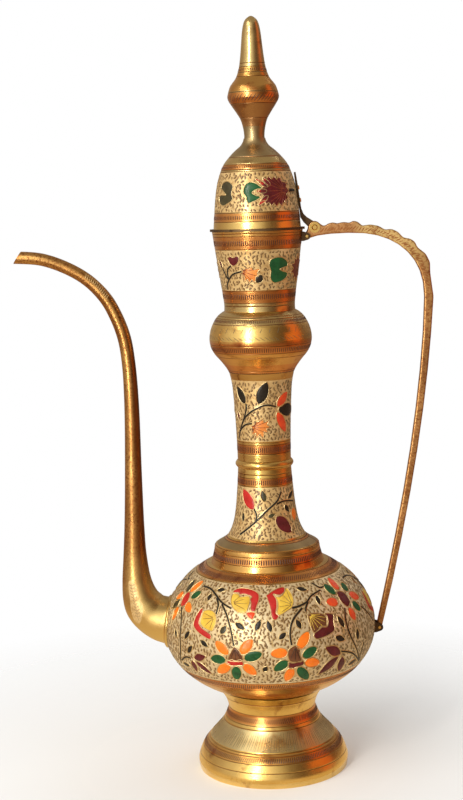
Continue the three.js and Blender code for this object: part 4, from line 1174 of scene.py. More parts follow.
# Drawings: the kind, its looks and its pixels. A petal ends with its width in mm, its fullness and
# its point, a vine starts with its width, and a burst ends with the distances of its points and
# notches from its middle and their number
UNIT_DRAWING = (
    ("cell", "red", TULIP_LEFT_CUP), ("cell", "yellow", TULIP_LEFT_FAN),
    ("cell", "scarlet", TULIP_LEFT_SEPAL), ("cell", "red", TULIP_RIGHT_CUP),
    ("cell", "yellow", TULIP_RIGHT_FAN), ("cell", "red", DROOPING_LEFT_CUP),
    ("cell", "yellow", DROOPING_LEFT_FAN), ("cell", "maroon", DROOPING_RIGHT_CUP),
    ("cell", "brown", DROOPING_RIGHT_FAN), ("cell", "brown", BUD_LEFT), ("cell", "red", BUD_LEFT_BASE),
    ("cell", "brown", BUD_RIGHT), ("cell", "maroon", BUD_RIGHT_BASE),
    ("ribs", "brown", (233, 603), (240, 596), (245, 599), (248, 604), (246, 610)),
    ("ribs", "brown", (292, 604.5), (286, 590), (282, 594.5), (279, 600), (279, 607), (281, 612.5)),
    ("ribs", "brown", (214, 618), (204, 613), (203, 619), (205, 626), (210, 629)),
    (
        "ribs", "yellow", (309.5, 615), (320, 614.5), (325.5, 617.5), (325.5, 622),
        (322.5, 626), (318.5, 628.5), (314.5, 631), (311, 627),
    ),
    ("ribs", "black", (235, 649), (230.5, 659), (236, 660), (241, 659)),
    ("ribs", "black", (295, 647), (290.5, 659), (295.5, 661), (300, 659)),
    *[("petal", *row, 8.3, *BLUNT) for row in LOWER_LEFT_PETALS + LOWER_RIGHT_PETALS],
    *[("vine", VINE_WIDTH, *pixels) for pixels in VINES],
    *[("petal", "black", *ends, 4.6, *POINTED) for ends in LEAVES],
    ("petal", "olive", (220.5, 634), (226.7, 625.5), 5.2, 0.9, 0.7),
)
SIDE_LEFT_DRAWING = (
    ("cell", "red", SIDE_LEFT_HEART),
    *[("petal", *row, 7.4, *BLUNT) for row in SIDE_LEFT_PETALS],
    ("vine", VINE_WIDTH, (181.7, 607), (181.4, 621), (180.3, 638), (180.7, 650), (181.6, 663)),
    ("vine", VINE_WIDTH, (182, 660), (185.7, 657), (190.7, 658)),
    *[("petal", "black", *ends, 4.6, *POINTED) for ends in SIDE_LEFT_LEAVES],
    *[("petal", "maroon", *ends, 6.6) for ends in SIDE_LEFT_BUDS],
)
SIDE_RIGHT_DRAWING = (
    ("cell", "maroon", SIDE_RIGHT_HEART),
    *[("petal", *row, 8.0, *BLUNT) for row in SIDE_RIGHT_PETALS],
    ("vine", VINE_WIDTH, (344.6, 608), (345.6, 620), (350, 634.7), (355.4, 646.3), (358.3, 660.4)),
    ("vine", VINE_WIDTH, (358.3, 660), (352, 653), (341.3, 651.3)),
    ("vine", VINE_WIDTH, (360.7, 606), (368, 613), (373, 621)),
    ("vine", VINE_WIDTH, (363.6, 642), (360.3, 654), (358.7, 660.4)),
    *[("petal", "black", *ends, 5.2, 0.9, 0.75) for ends in SIDE_RIGHT_LEAVES],
    *[("petal", "maroon", *ends, 8.2) for ends in SIDE_RIGHT_BUDS],
)
LID_DRAWING = (
    ("cell", "olive", LID_DARK_LEAF),
    ("cell", "green", LID_GREEN_LEAF),
    ("fan", "maroon", "russet", (284, 190.5), LID_FLOWER),
    *[("petal", "red", *ends, 3.4, 0.7, 0.8) for ends in LID_PETALS],
    ("vine", 3.2, (288.5, 190.3), (291, 190), (294, 190)),
)
CUP_DRAWING = (
    ("cell", "maroon", CUP_BUD),
    ("cell", "green", CUP_GREEN_LEAF),
    # The burst's red is darkened to russet: painted shade
    ("burst", "russet", "brown", CUP_FLOWER_TURN, (285, 269), 11.8, 7.5, 11),
    ("vine", VINE_WIDTH, (227.4, 289.5), (227.6, 284), (232.4, 275), (241.5, 271.5)),
    ("vine", VINE_WIDTH, (229, 280), (227.6, 270.5), (231, 266)),
    ("vine", VINE_WIDTH, (228, 279), (223.5, 270), (221, 265)),
    ("fan", "apricot", "russet", (242.5, 271.5), CUP_FAN),
    ("petal", "black", (256.5, 283), (262.5, 275), 6, 1, 0.6),
    ("petal", "maroon", (223, 268.5), (218.6, 259), 4.5),
)
NECK_UPPER_DRAWING = (
    ("petal", "black", (245.3, 404), (236.8, 385.5), 8, 0.9, 0.7),
    ("petal", "black", (258.6, 404.5), (267.2, 381.8), 9.5, 0.9, 0.7),
    ("vine", VINE_WIDTH, *NECK_STEM),
    ("vine", VINE_WIDTH, (246.5, 404), (246, 412), (242.5, 424)),
    ("vine", VINE_WIDTH, (240, 431), (245.3, 425), (252, 423.5)),
    ("fan", "apricot", "russet", (252.5, 427.5), NECK_FAN),
    ("petal", "scarlet", (277, 406.5), (287.3, 391.5), 8, 0.95, 0.6),
    ("petal", "scarlet", (277, 412), (285.6, 432), 8, 0.95, 0.6),
    ("petal", "black", (278, 409.3), (293, 409), 11, 0.95, 0.6),
    ("petal", "maroon", (240, 420), (237.5, 410), 4),
)
NECK_LOWER_DRAWING = (
    ("petal", "red", (253.8, 510), (243.3, 488.5), 9.5, 0.95, 0.7),
    ("petal", "olive", (265.4, 502), (262, 490.5), 4.6, 0.9, 0.6),
    ("vine", 2.0, (240, 534.5), (255, 522.7), (267, 510.5), (277, 501), (281, 491.5)),
    ("vine", VINE_WIDTH, (254.4, 509), (256.8, 515.4), (255.6, 522)),
    ("vine", 1.7, (277, 504), (284, 501), (293, 500.4)),
    ("petal", "maroon", (276.3, 516.5), (292, 532), 11, 0.95, 0.6),
    ("petal", "orange", (293.2, 507), (294.6, 521), 8),
    ("petal", "black", (284.5, 504.5), (289.5, 512.5), 4.6),
    ("petal", "black", (287.5, 499), (292.6, 489.5), 4.6),
    ("petal", "black", (243.2, 522), (243.5, 511), 3.8),
    ("petal", "olive", (267.7, 517.2), (275.8, 514), 3.6),
)


def belly_band():
    """Three equal units round the belly, with side plants between them."""
    band = Band(belly, 585, 683)
    band.draw(UNIT_DRAWING)
    band.copies(0, 120, -120)
    band.draw(SIDE_LEFT_DRAWING)
    start = len(band.items)
    band.draw(SIDE_RIGHT_DRAWING)
    band.copies(start, 120)
    return band


BELLY_SEED = 11

enamel_band("belly", belly_band(), "jug", BELLY_SEED)
for name, surface, top_row, bottom_row, drawing, body, seed in (
    ("lid", dome, 172, 211.5, LID_DRAWING, "lid", 12),
    ("cup", cup, 250, 290.5, CUP_DRAWING, "jug", 13),
    ("neck_upper", neck_upper, 381, 441.5, NECK_UPPER_DRAWING, "jug", 14),
    ("neck_lower", neck_lower, 488, 541, NECK_LOWER_DRAWING, "jug", 15),
):
    band = Band(surface, top_row, bottom_row)
    band.draw(drawing)
    band.copies(0, 180)
    enamel_band(name, band, body, seed)


# The spout: a bent tapering tube, its mouth cut on the slant

SPOUT_ROOT_X = 87
RISER_X = 108.8
BEAK_X = 196
ROOT_Z = 124
ELBOW_Z = 180
RISER_TOP_Z = 341
BEAK_RISE = 86.5
ROOT_RADIUS = 20
ELBOW_RADIUS = 9.6
THROAT_RADIUS = 5.5
TIP_RADIUS = 5
TUBE_WALL = 1.2
MOUTH_SLANT = math.radians(34)
MOUTH_POINT = np.array([-BEAK_X, 0, 422.5])
SPOUT_SIDES = 48
STATION_STEPS = 12

# Shares of the way out and up and of the narrowing, from the root to the elbow
ELBOW = [
    (-0.32, 0, 0), (0.08, 0.04, 0.11), (0.48, 0.135, 0.26), (0.73, 0.257, 0.35), (0.87, 0.393, 0.52),
    (0.97, 0.616, 0.76), (1, 1, 1),
]
# Shares of the way up, of the bow and of the narrowing, from the elbow to the throat
RISER = [(0.139, 0.17, 0.32), (0.42, 0.6, 0.64), (0.8, 1, 0.89), (1, 0.5, 1)]
# Shares of the way out and up, from the throat to the beak's tip
BEAK = [(0.017, 0.223), (0.087, 0.43), (0.182, 0.605), (0.374, 0.797), (0.714, 0.96), (1.05, 1)]
RISER_BOW = 2.4
TIP_NARROWING = 3
LEAST_PULL = 0.05


def mix(first, second, share):
    return first + (second - first) * share


def spout_stations():
    """x and z of the spout's middle line and its radius, in mm from the axis."""
    stations = []
    for out, up, thin in ELBOW:
        radius = mix(ROOT_RADIUS, ELBOW_RADIUS, thin)
        stations.append((-mix(SPOUT_ROOT_X, RISER_X, out), mix(ROOT_Z, ELBOW_Z, up), radius))
    for up, bow, thin in RISER:
        radius = mix(ELBOW_RADIUS, THROAT_RADIUS, thin)
        stations.append((RISER_BOW * bow - RISER_X, mix(ELBOW_Z, RISER_TOP_Z, up), radius))
    for out, up in BEAK:
        radius = mix(THROAT_RADIUS, TIP_RADIUS, min(TIP_NARROWING * out, 1))
        stations.append((-mix(RISER_X, BEAK_X, out), RISER_TOP_Z + BEAK_RISE * up, radius))
    return np.array(stations)


def even_spline(knots, count):
    """A smooth line whose speed suits uneven gaps between its knots."""
    knots = np.vstack([2 * knots[0] - knots[1], knots, 2 * knots[-1] - knots[-2]])
    times = np.concatenate([[0], np.cumsum(np.linalg.norm(np.diff(knots, axis=0), axis=1) ** 0.5)])
    line = []
    for i in range(1, len(knots) - 2):
        t0, t1, t2, t3 = times[i - 1:i + 3]
        p0, p1, p2, p3 = knots[i - 1:i + 3]
        for t in np.linspace(t1, t2, count, endpoint=False):
            a1 = mix(p0, p1, (t - t0) / (t1 - t0))
            a2 = mix(p1, p2, (t - t1) / (t2 - t1))
            a3 = mix(p2, p3, (t - t2) / (t3 - t2))
            b1 = mix(a1, a2, (t - t0) / (t2 - t0))
            b2 = mix(a2, a3, (t - t1) / (t3 - t1))
            line.append(mix(b1, b2, (t - t1) / (t2 - t1)))
    return np.array([*line, knots[-2]])


spout_line = even_spline(spout_stations(), STATION_STEPS)


def spout_points(shrink):
    """Rings of points round the spout, those past its mouth pulled back to the slanted cut."""
    middle = np.stack([spout_line[:, 0], np.zeros(len(spout_line)), spout_line[:, 1]], 1)
    ahead = np.gradient(middle, axis=0)
    ahead /= np.linalg.norm(ahead, axis=1, keepdims=True)
    aside = np.array([0, 1, 0])
    upward = np.cross(ahead, aside)
    turn = np.arange(SPOUT_SIDES) * TURN / SPOUT_SIDES
    circle = np.cos(turn)[None, :, None] * aside + np.sin(turn)[None, :, None] * upward[:, None]
    rings = middle[:, None] + circle * (spout_line[:, 2] - shrink)[:, None, None]
    face = np.array([-math.cos(MOUTH_SLANT), 0, math.sin(MOUTH_SLANT)])
    past = np.maximum((rings - MOUTH_POINT) @ face, 0)
    pull = np.maximum(ahead @ face, LEAST_PULL)
    rings -= ahead[:, None] * (past / pull[:, None])[..., None]
    return rings * MM + (AXIS_X, 0, 0)


def make_spout():
    outer = spout_points(0)
    inner = spout_points(TUBE_WALL)[::-1]
    rings = np.concatenate([outer, inner])
    pile = Pile()
    pile.add(rings, grid_faces(len(rings), SPOUT_SIDES, round_rows=True))
    finish_piece(pile.build("spout_tube", [SPOUT], SHELL_SHARP), "jug", "polished_brass", "spout")


COLLAR_SIDES = 96
# The collar's section: distance from its middle and height over the belly, in mm
COLLAR_SECTION = ((17, 0.3), (17, 1.9), (19, 1.9), (20.6, 1.8), (21.8, 1.3), (22.2, 0.7), (22.2, 0))


def make_spout_collar():
    """A thin disc soldered to the belly round the root of the spout."""
    pile = Pile()
    turn = np.arange(COLLAR_SIDES) * TURN / COLLAR_SIDES
    along = belly.place(picture_row((AXIS_X, -SPOUT_ROOT_X * MM, ROOT_Z * MM)))
    rows = []
    for reach, lift in COLLAR_SECTION:
        angle = -TURN / 4 + np.sin(turn) * reach / SPOUT_ROOT_X
        rows.append(belly.points(angle, along + np.cos(turn) * reach * MM, lift * MM))
    pile.add(np.stack(rows), grid_faces(len(rows), COLLAR_SIDES))
    disc = pile.build("spout_collar_disc", [SPOUT], WORK_SHARP)
    finish_piece(disc, "jug", "polished_brass", "spout_collar")


# Marks on the spout: places, lengths and widths are pixels of the photograph
FEATHER = (
    (128.8, 581.5), (132.5, 581), (136, 586), (139, 597), (143.2, 606), (142.3, 615), (139.5, 623.5),
    (134.5, 621), (131.2, 611), (130, 599), (128.8, 590),
)
FEATHER_RIB = ((131, 584), (133.5, 597), (136, 609), (138.5, 620))
FEATHER_ROWS = np.arange(586, 619, 3.1)
BEAK_CHAIN = ((83, 274.5), (91, 279.5), (99, 286.5), (108, 298.5))
CHAIN_SPACING = 2.3
CHAIN_HALF = 2.6
BARB_REACH = (2.6, 3.8)
BARB_START = 0.4
BARB_WIDTH = 0.9
BARB_RISES = (1.8, 2.0)
LEFT_BARB_SHARE = 0.8
# Widths of each dark mark and of the painted highlight beside it
MARK_AND_HIGHLIGHT_WIDTHS = (1.1, 1.0)
RIB_STROKE_WIDTH = 0.8
MARK_LIFT = 0.07 * MM
LENS_STEPS = 6
LENS_POINT = 0.7
SPOUT_SEED = 31


def lens(start, end, width):
    """The outline of a thin stroke between two places on a plane."""
    start, end = np.asarray(start, float), np.asarray(end, float)
    shares = np.linspace(0, 1, LENS_STEPS)[:, None]
    axis = end - start
    across = np.array([-axis[1], axis[0]]) / np.linalg.norm(axis)
    half = width / 2 * np.sin(math.pi * shares) ** LENS_POINT
    middle = start + axis * shares
    return np.vstack([middle + across * half, (middle - across * half)[-2:0:-1]])


class Marks:
    """Flat marks drawn on the spout at pixels of the photograph, and again on its far side."""

    def __init__(self):
        rings = spout_points(0)
        faces = grid_faces(len(rings), SPOUT_SIDES)
        self.tube = BVHTree.FromPolygons(rings.reshape(-1, 3).tolist(), faces)
        self.pile = Pile()

    def add(self, pixels, faces, lift, look):
        points = []
        for pixel in pixels:
            place, normal = self.tube.ray_cast(CAMERA_PLACE, Vector(pixel_ray(*pixel)))[:2]
            if place is None:
                return
            facing = -1 if normal.y > 0 else 1
            points.append(place + normal * facing * lift)
        points = np.array([tuple(p) for p in points])
        self.pile.add(points, faces, look)
        self.pile.add(points * (1, -1, 1), [face[::-1] for face in faces], look)

    def stroke(self, start, end, width, look):
        outline = lens(start, end, width)
        self.add(outline, [tuple(range(len(outline)))], MARK_LIFT, look)


def mark_spout(rng):
    """A chased feather on the elbow and a chain of punched marks on the beak, each mark with a pale
    painted highlight beside it.
    """
    marks = Marks()
    patch, faces = filled(closed_spline(np.array(FEATHER), CELL_STEPS))[:2]
    marks.add(patch, faces, MARK_LIFT / 2, 0)
    rib = spline(FEATHER_RIB, CELL_STEPS)
    for start, end in zip(rib, rib[1:]):
        marks.stroke(start, end + 0.2 * (end - start), RIB_STROKE_WIDTH, 1)
    for row in FEATHER_ROWS:
        middle = np.array([np.interp(row, rib[:, 1], rib[:, 0]), row])
        reach = rng.uniform(*BARB_REACH)
        right, left = (reach, -BARB_RISES[0]), (-LEFT_BARB_SHARE * reach, -BARB_RISES[1])
        marks.stroke(middle + (BARB_START, 0), middle + right, BARB_WIDTH, 1)
        marks.stroke(middle - (BARB_START, 0), middle + left, BARB_WIDTH, 1)
    chain = respaced(spline(BEAK_CHAIN, VINE_STEPS), CHAIN_SPACING)
    for before, place, after in zip(chain, chain[1:], chain[2:]):
        ahead = (after - before) / np.linalg.norm(after - before)
        aside = np.array([-ahead[1], ahead[0]])
        marks.stroke(place - aside * CHAIN_HALF, place + aside * 0.4 + ahead, MARK_AND_HIGHLIGHT_WIDTHS[0], 1)
        # A pale stroke beside each mark: a painted highlight
        start, end = place - aside * 0.2 + ahead * 0.9, place + aside * CHAIN_HALF + ahead * 1.6
        marks.stroke(start, end, MARK_AND_HIGHLIGHT_WIDTHS[1], 0)
    finish_piece(marks.pile.build("spout_marks", [GOLDEN, SHADE_AND_MARK_BROWN], WORK_SHARP), "jug", "polished_brass")


make_spout()
make_spout_collar()
mark_spout(np.random.default_rng(SPOUT_SEED))


# The handle: a filed and engraved plate

# Sizes are in mm, and the places of the arm and the leg are measured from the jug's axis
PLATE_HALF = 3.2
SLOT_HALF = 1.5
SLOT_REACH = 40
EDGE_ROUNDING = 1.1
ROUNDING_STEPS = 5
OUTLINE_STEP = 0.7
HOLE_STEP = 0.5
SMOOTHING = 2
FACE_GRID = 0.9
FACE_CLEARANCE = 0.4
ARM_START = (52, 441.2)
ARM_CENTRE = np.array([72.1, 385.2])
ARM_REACH = np.array([63.9, 56])
ARM_POWER = 0.87
ARM_END_Z = 392
LEG = ((136.4, 385.2), (130.72, 273.8), (90.64, 113.5))
MIDDLE_STEPS = 40
STROKE_STEP = 2.5
ENGRAVING_LIFT = 0.05
ARM_REACHES = (1.2, 2.0)
ARM_SLOPES = (1.0, 1.8)
LEG_REACHES = (0.5, 0.9)
LEG_SLOPES = (-0.4, 0.4)
CUT_SHIFTS = (-0.4, 0.4)
CUT_WIDTHS = (0.5, 0.9)
FACING_FRONT = -0.9
NEAR_FACE = 0.1 * MM
HANDLE_SEED = 41


def face_loops(node, height):
    """The closed edges of a plate's front face, the longest first."""
    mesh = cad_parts[node].data
    used = {}
    for polygon in mesh.polygons:
        if polygon.normal.y < FACING_FRONT and abs(polygon.center.y - height) < NEAR_FACE:
            corners = [tuple(round(c, 6) for c in mesh.vertices[i].co) for i in polygon.vertices]
            for start, end in zip(corners, corners[1:] + corners[:1]):
                used[(start, end)] = True
    ahead = {start: end for start, end in used if (end, start) not in used}
    loops = []
    while ahead:
        start, end = ahead.popitem()
        loop = [start]
        while end != loop[0]:
            loop.append(end)
            end = ahead.pop(end)
        loops.append(np.array(loop)[:, [0, 2]] / MM)
    return sorted(loops, key=len, reverse=True)


def smoothed(loop, reach):
    """A closed line with each point moved to the mean of its neighbours."""
    return sum(np.roll(loop, k, 0) for k in range(-reach, reach + 1)) / (2 * reach + 1)


def rounded_rings(loop):
    """Rings over the rounded edge of a plate, from its side to its flat face: the material lies
    on the left of the loop."""
    ahead = np.roll(loop, -1, 0) - np.roll(loop, 1, 0)
    ahead /= np.linalg.norm(ahead, axis=1, keepdims=True)
    inward = np.stack([-ahead[:, 1], ahead[:, 0]], 1)
    rings = []
    for angle in np.linspace(0, math.pi / 2, ROUNDING_STEPS):
        flat = loop + inward * EDGE_ROUNDING * (1 - math.cos(angle))
        front = -PLATE_HALF + EDGE_ROUNDING * (1 - math.sin(angle))
        rings.append(np.stack([flat[:, 0], np.full(len(flat), front), flat[:, 1]], 1))
    return rings


def slot_cutter():
    """A block that fills the slot, whose end and floor are where the solid has its walls."""
    corners = np.array([tuple(v.co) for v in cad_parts["handle"].data.vertices])
    walls = corners[np.abs(np.abs(corners[:, 1]) - SLOT_HALF * MM) < TINY]
    end, floor = walls[:, 0].max(), walls[:, 2].min()
    far, top, half = end - SLOT_REACH * MM, floor + SLOT_REACH * MM, SLOT_HALF * MM
    base = [(end, half), (far, half), (far, -half), (end, -half)]
    pile = Pile()
    caps = [(3, 2, 1, 0), (4, 5, 6, 7)]
    pile.add([(x, y, z) for z in (floor, top) for x, y in base], grid_faces(2, 4) + caps)
    return pile.build("slot_cutter", [])


def cut_slot(plate):
    """Opens the slot in which the strap's eye turns."""
    cutter = slot_cutter()
    shell = bmesh.new()
    shell.from_mesh(plate.data)
    bmesh.ops.remove_doubles(shell, verts=shell.verts, dist=TINY)
    bmesh.ops.recalc_face_normals(shell, faces=shell.faces)
    shell.to_mesh(plate.data)
    shell.free()
    cut = plate.modifiers.new("slot", "BOOLEAN")
    cut.operation = "DIFFERENCE"
    cut.object = cutter
    shown = plate.evaluated_get(bpy.context.evaluated_depsgraph_get())
    plate.data = bpy.data.meshes.new_from_object(shown)
    plate.data.set_sharp_from_angle(angle=math.radians(PLATE_SHARP))
    plate.modifiers.clear()
    bpy.data.objects.remove(cutter)


def on_plate(points, borders):
    """Which of many points lie on the plate and outside its holes."""
    found = inside(points, borders[0])
    for hole in borders[1:]:
        found &= ~inside(points, hole)
    return found


def plate_face(borders):
    """Points and triangles that fill a flat face of the plate between its borders."""
    rims = np.vstack(borders)
    grid = grid_points(rims.min(0), rims.max(0), FACE_GRID)
    grid = grid[on_plate(grid, borders)]
    grid = grid[distances(grid, rims) > FACE_CLEARANCE]
    edges = []
    start = 0
    for border in borders:
        edges += [(start + i, start + (i + 1) % len(border)) for i in range(len(border))]
        start += len(border)
    flat, faces = triangulated(np.vstack([rims, grid]), edges, [], ALL_TRIANGLES, 1e-5)
    kept = on_plate(flat[np.array(faces)].mean(1), borders)
    return flat, [face for face, keep in zip(faces, kept) if keep]


def make_handle():
    """The plate's rounded edges, its two flat faces and, on the faces, its engraving."""
    outer, *holes = face_loops("handle", -PLATE_HALF * MM)
    loops = [smoothed(respaced(outer, OUTLINE_STEP, closed=True), SMOOTHING)]
    loops += [respaced(hole, HOLE_STEP, closed=True) for hole in holes]
    pile = Pile()
    borders = []
    for loop in loops:
        rings = rounded_rings(loop)
        borders.append(rings[-1][:, [0, 2]])
        front = np.stack(rings)
        back = front[::-1] * (1, -1, 1)
        pile.add(np.concatenate([back, front]) * MM, grid_faces(2 * len(rings), len(loop)))
    flat, faces = plate_face(borders)
    for side in (-1, 1):
        face = np.stack([flat[:, 0], np.full(len(flat), side * PLATE_HALF), flat[:, 1]], 1)
        pile.add(face * MM, faces if side < 0 else [f[::-1] for f in faces])
    plate = pile.build("handle_plate", [HANDLE])
    cut_slot(plate)
    finish_piece(plate, "jug", "cast_brass", "handle")
    engrave_handle(borders, np.random.default_rng(HANDLE_SEED))


def handle_middle():
    """The middle line of the handle, in mm, from the hinge round to the belly."""
    turn = np.linspace(0, math.pi / 2, MIDDLE_STEPS)
    arm = ARM_CENTRE + ARM_REACH * np.stack([np.sin(turn), np.cos(turn)], 1) ** ARM_POWER
    shares = np.linspace(0, 1, MIDDLE_STEPS)[:, None]
    top, bend, end = (np.array(p) for p in LEG)
    leg = top * (1 - shares) ** 2 + 2 * bend * shares * (1 - shares) + end * shares**2
    return np.vstack([ARM_START, arm, leg[1:]]) + (AXIS_X / MM, 0)


def engrave_handle(borders, rng):
    """Slanting strokes along the arm and short ones down the leg, on both faces."""
    pile = Pile()
    middle = respaced(handle_middle(), STROKE_STEP)
    for place, after in zip(middle, middle[1:]):
        ahead = (after - place) / np.linalg.norm(after - place)
        across = np.array([-ahead[1], ahead[0]])
        on_arm = place[1] > ARM_END_Z
        reach = rng.uniform(*(ARM_REACHES if on_arm else LEG_REACHES))
        slope = ahead * rng.uniform(*(ARM_SLOPES if on_arm else LEG_SLOPES))
        centre = place + across * rng.uniform(*CUT_SHIFTS)
        width = rng.uniform(*CUT_WIDTHS)
        outline = lens(centre - across * reach - slope, centre + across * reach + slope, width)
        if not on_plate(outline, borders).all():
            continue
        for side in (-1, 1):
            height = np.full(len(outline), side * (PLATE_HALF + ENGRAVING_LIFT))
            points = np.stack([outline[:, 0], height, outline[:, 1]], 1)
            order = tuple(range(len(outline)))
            pile.add(points * MM, [order if side < 0 else order[::-1]])
    finish_piece(pile.build("handle_engraving", [RUSTY_LINE], WORK_SHARP), "jug", "cast_brass")


make_handle()


# Small pieces keep their solids, with rounded edges

BEVEL_WIDTH = 0.3 * MM
BEVEL_SEGMENTS = 3
BEVEL_FROM = math.radians(35)
# The handle's bracket, lug and strap are dark brass: painted shade
SMALL_PIECES = {
    "handle_bracket": PAINTED_SHADE, "handle_lug": PAINTED_SHADE, "hinge_strap": PAINTED_SHADE, "bracket_rivet": POLISHED,
    "lug_rivet": POLISHED, "hinge_pin": POLISHED, "hinge_washer_front": POLISHED,
    "hinge_washer_back": POLISHED, "finial_nut": POLISHED, "strap_rivet_lower": POLISHED,
    "strap_rivet_upper": POLISHED,
}

for node, material in SMALL_PIECES.items():
    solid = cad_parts[node]
    solid.data.materials.clear()
    solid.data.materials.append(material)
    bevel = solid.modifiers.new("rounded_edges", "BEVEL")
    bevel.width = BEVEL_WIDTH
    bevel.segments = BEVEL_SEGMENTS
    bevel.limit_method = "ANGLE"
    bevel.angle_limit = BEVEL_FROM

# Floor, background and light

scene = bpy.context.scene
scene.view_settings.view_transform = "Standard"

SKY_TONE = (1, 0.97, 0.92, 1)
SKY_STRENGTH = 0.55
FLOOR_HALF = 3
FLOOR_NEAR = 0.13
FLOOR_FAR = 0.45
FLOOR_TONES = ((0.93, 0.93, 0.93), (0.91, 0.91, 0.91))


def mixed_shader(tree, share, first, second, output):
    """Mixes two shaders and makes the mix what an output node shows."""
    mix_node = add_node(tree, "MixShader", Fac=share)
    tree.links.new(first.outputs[0], mix_node.inputs[1])
    tree.links.new(second.outputs[0], mix_node.inputs[2])
    tree.links.new(mix_node.outputs[0], tree.nodes[output].inputs["Surface"])


def surroundings():
    """White to the camera and in reflections, and a softer warm light on everything else."""
    world = bpy.data.worlds.new("surroundings")
    scene.world = world
    world.use_nodes = True
    tree = world.node_tree
    shown = tree.nodes["Background"]
    shown.inputs["Color"].default_value = (1, 1, 1, 1)
    lighting = add_node(tree, "Background", Color=SKY_TONE, Strength=SKY_STRENGTH)
    rays = add_node(tree, "LightPath")
    seen = rays.outputs["Is Camera Ray"]
    for name in ("Is Glossy Ray", "Is Transmission Ray"):
        either = tree.nodes.new("ShaderNodeMath")
        either.operation = "MAXIMUM"
        tree.links.new(seen, either.inputs[0])
        tree.links.new(rays.outputs[name], either.inputs[1])
        seen = either.outputs[0]
    mixed_shader(tree, seen, lighting, shown, "World Output")


def studio_floor():
    """A pale floor that keeps the part's shadow and fades into the white further out."""
    look = Look("floor", metallic=0.0, roughness=0.7)
    look.shader.inputs["Specular IOR Level"].default_value = 0.0
    look.colour(look.blend(look.noise(3, 2), *FLOOR_TONES))
    reach = look.spread(distance_from_middle(look.tree, look.place), FLOOR_NEAR, FLOOR_FAR)
    clear = add_node(look.tree, "BsdfTransparent")
    mixed_shader(look.tree, reach, look.shader, clear, "Material Output")
    pile = Pile()
    corners = ((-1, -1), (1, -1), (1, 1), (-1, 1))
    pile.add([(x * FLOOR_HALF, y * FLOOR_HALF, 0) for x, y in corners], [(0, 1, 2, 3)])
    pile.build("floor", [look.material])


LAMP_AIM = Vector((AXIS_X, 0, 0.3))
# Place, size in metres, power in watts and colour
LAMPS = {
    "key": ((-0.70, -1.30, 0.64), (0.16, 1.5), 16, (1, 0.96, 0.88)),
    "fill": ((-1.3, -1.1, 1.4), (1.2, 1.2), 16, (1, 0.97, 0.93)),
    "back": ((1.4, 1.2, 1.3), (1.2, 1.2), 8, (1, 0.97, 0.93)),
}


def add_lamp(name, place, size, power, colour):
    data = bpy.data.lights.new(name, "AREA")
    data.shape = "RECTANGLE"
    data.size, data.size_y = size
    data.energy = power
    data.color = colour
    lamp = bpy.data.objects.new(name, data)
    scene.collection.objects.link(lamp)
    lamp.location = place
    aim = LAMP_AIM - Vector(place)
    lamp.rotation_euler = aim.to_track_quat("-Z", "Y").to_euler()


ROOM_SIDES = 64
WALL_RADIUS = 1.6
WALL_LOW = -0.3
WALL_HIGH = 1.9
GROUND_HOLE = 0.066

# What the brass reflects: degrees from the camera's side, positive to its right, and a colour
SEAM_TONE = (0.54, 0.45, 0.37)
WALL_TONES = (
    (-52, (0.86, 0.80, 0.70)), (-40, (1, 0.97, 0.90)), (-4, (1, 0.95, 0.85)), (14, (0.56, 0.48, 0.38)),
    (26, (0.28, 0.21, 0.15)), (42, (0.15, 0.10, 0.07)), (72, (0.12, 0.075, 0.05)),
    (78, (0.80, 0.22, 0.07)), (96, (0.72, 0.18, 0.06)), (103, (0.16, 0.09, 0.06)),
    (150, (0.22, 0.15, 0.11)), (178, (0.34, 0.27, 0.20)), (200, (0.50, 0.42, 0.32)),
    (238, (0.42, 0.33, 0.26)),
)
# A sheet that stands low before the wall: degrees, metres from the middle, heights and colour
SHEET_SPAN = (57, 80)
SHEET_REACH = 1.45
SHEET_HEIGHTS = (0.2, 0.8)
SHEET_TONE = (0.80, 0.24, 0.07)
# The ground that it reflects: metres from the middle, and a colour
GROUND_TONES = ((0.07, (0.80, 0.62, 0.38)), (0.3, (0.60, 0.41, 0.24)), (0.8, (0.34, 0.19, 0.11)))
CEILING_TONE = (0.40, 0.34, 0.27)


def reflected(name, look, points, faces):
    """A card that only reflections show."""
    pile = Pile()
    pile.add(points, faces)
    piece = pile.build(name, [look])
    piece.visible_camera = False
    piece.visible_shadow = False
    piece.visible_diffuse = False


def glow(name, colour):
    """A look that only shines, and the node that gives its light."""
    look = bpy.data.materials.new(name)
    look.use_nodes = True
    tree = look.node_tree
    tree.nodes.remove(tree.nodes["Principled BSDF"])
    light = add_node(tree, "Emission", Color=(*colour, 1))
    tree.links.new(light.outputs[0], tree.nodes["Material Output"].inputs["Surface"])
    return look, light


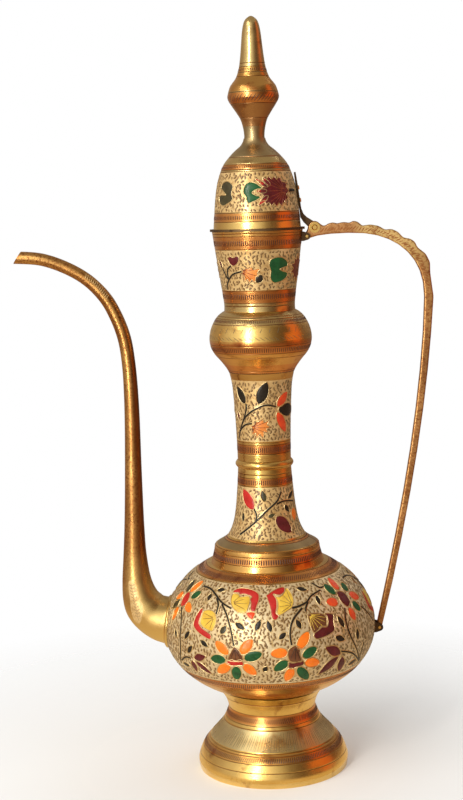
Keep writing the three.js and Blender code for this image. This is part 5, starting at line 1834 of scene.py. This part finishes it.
def direction_from_middle(tree, place):
    """The direction in which a place lies, as a share of a turn."""
    node = add_node(tree, "TexGradient", Vector=place)
    node.gradient_type = "RADIAL"
    return node.outputs["Fac"]


def toned_glow(name, measure, tones, ends):
    """A glow whose colour runs through tones along a measure of its place."""
    look, light = glow(name, ends[0])
    tree = look.node_tree
    value = measure(tree, add_node(tree, "TexCoord").outputs["Object"])
    ramp = add_node(tree, "ValToRGB", Fac=value)
    tree.links.new(ramp.outputs["Color"], light.inputs["Color"])
    stops = ramp.color_ramp.elements
    for stop, colour in zip(stops, ends):
        stop.color = (*colour, 1)
    for share, colour in tones:
        stops.new(share).color = (*colour, 1)
    return look


def reflected_room():
    """A round wall whose tone changes with direction, a warm ground and a dim ceiling."""
    turn = np.arange(ROOM_SIDES) * TURN / ROOM_SIDES
    ring = np.stack([np.sin(turn), -np.cos(turn)], 1)
    quads = grid_faces(2, ROOM_SIDES)
    wall = [(x * WALL_RADIUS, y * WALL_RADIUS, z) for z in (WALL_LOW, WALL_HIGH) for x, y in ring]
    shares = [((degrees + 90) / 360, colour) for degrees, colour in WALL_TONES]
    wall_look = toned_glow("wall", direction_from_middle, shares, (SEAM_TONE, SEAM_TONE))
    reflected("wall_card", wall_look, wall, quads)
    radii = (GROUND_HOLE, WALL_RADIUS)
    ground = [(radius * x + AXIS_X, radius * y, MM) for radius in radii for x, y in ring]
    ends = (GROUND_TONES[0][1], GROUND_TONES[-1][1])
    ground_look = toned_glow("ground", distance_from_middle, GROUND_TONES, ends)
    reflected("ground_card", ground_look, ground, quads)
    edges = [math.radians(degrees) for degrees in SHEET_SPAN]
    sheet = [
        (SHEET_REACH * math.sin(edge), -SHEET_REACH * math.cos(edge), z)
        for z in SHEET_HEIGHTS
        for edge in edges
    ]
    reflected("orange_sheet", glow("orange_sheet", SHEET_TONE)[0], sheet, [(0, 1, 3, 2)])
    ceiling = glow("ceiling", CEILING_TONE)[0]
    reflected("ceiling_card", ceiling, wall[ROOM_SIDES:], [tuple(range(ROOM_SIDES))])


surroundings()
studio_floor()
reflected_room()
for name, settings in LAMPS.items():
    add_lamp(name, *settings)
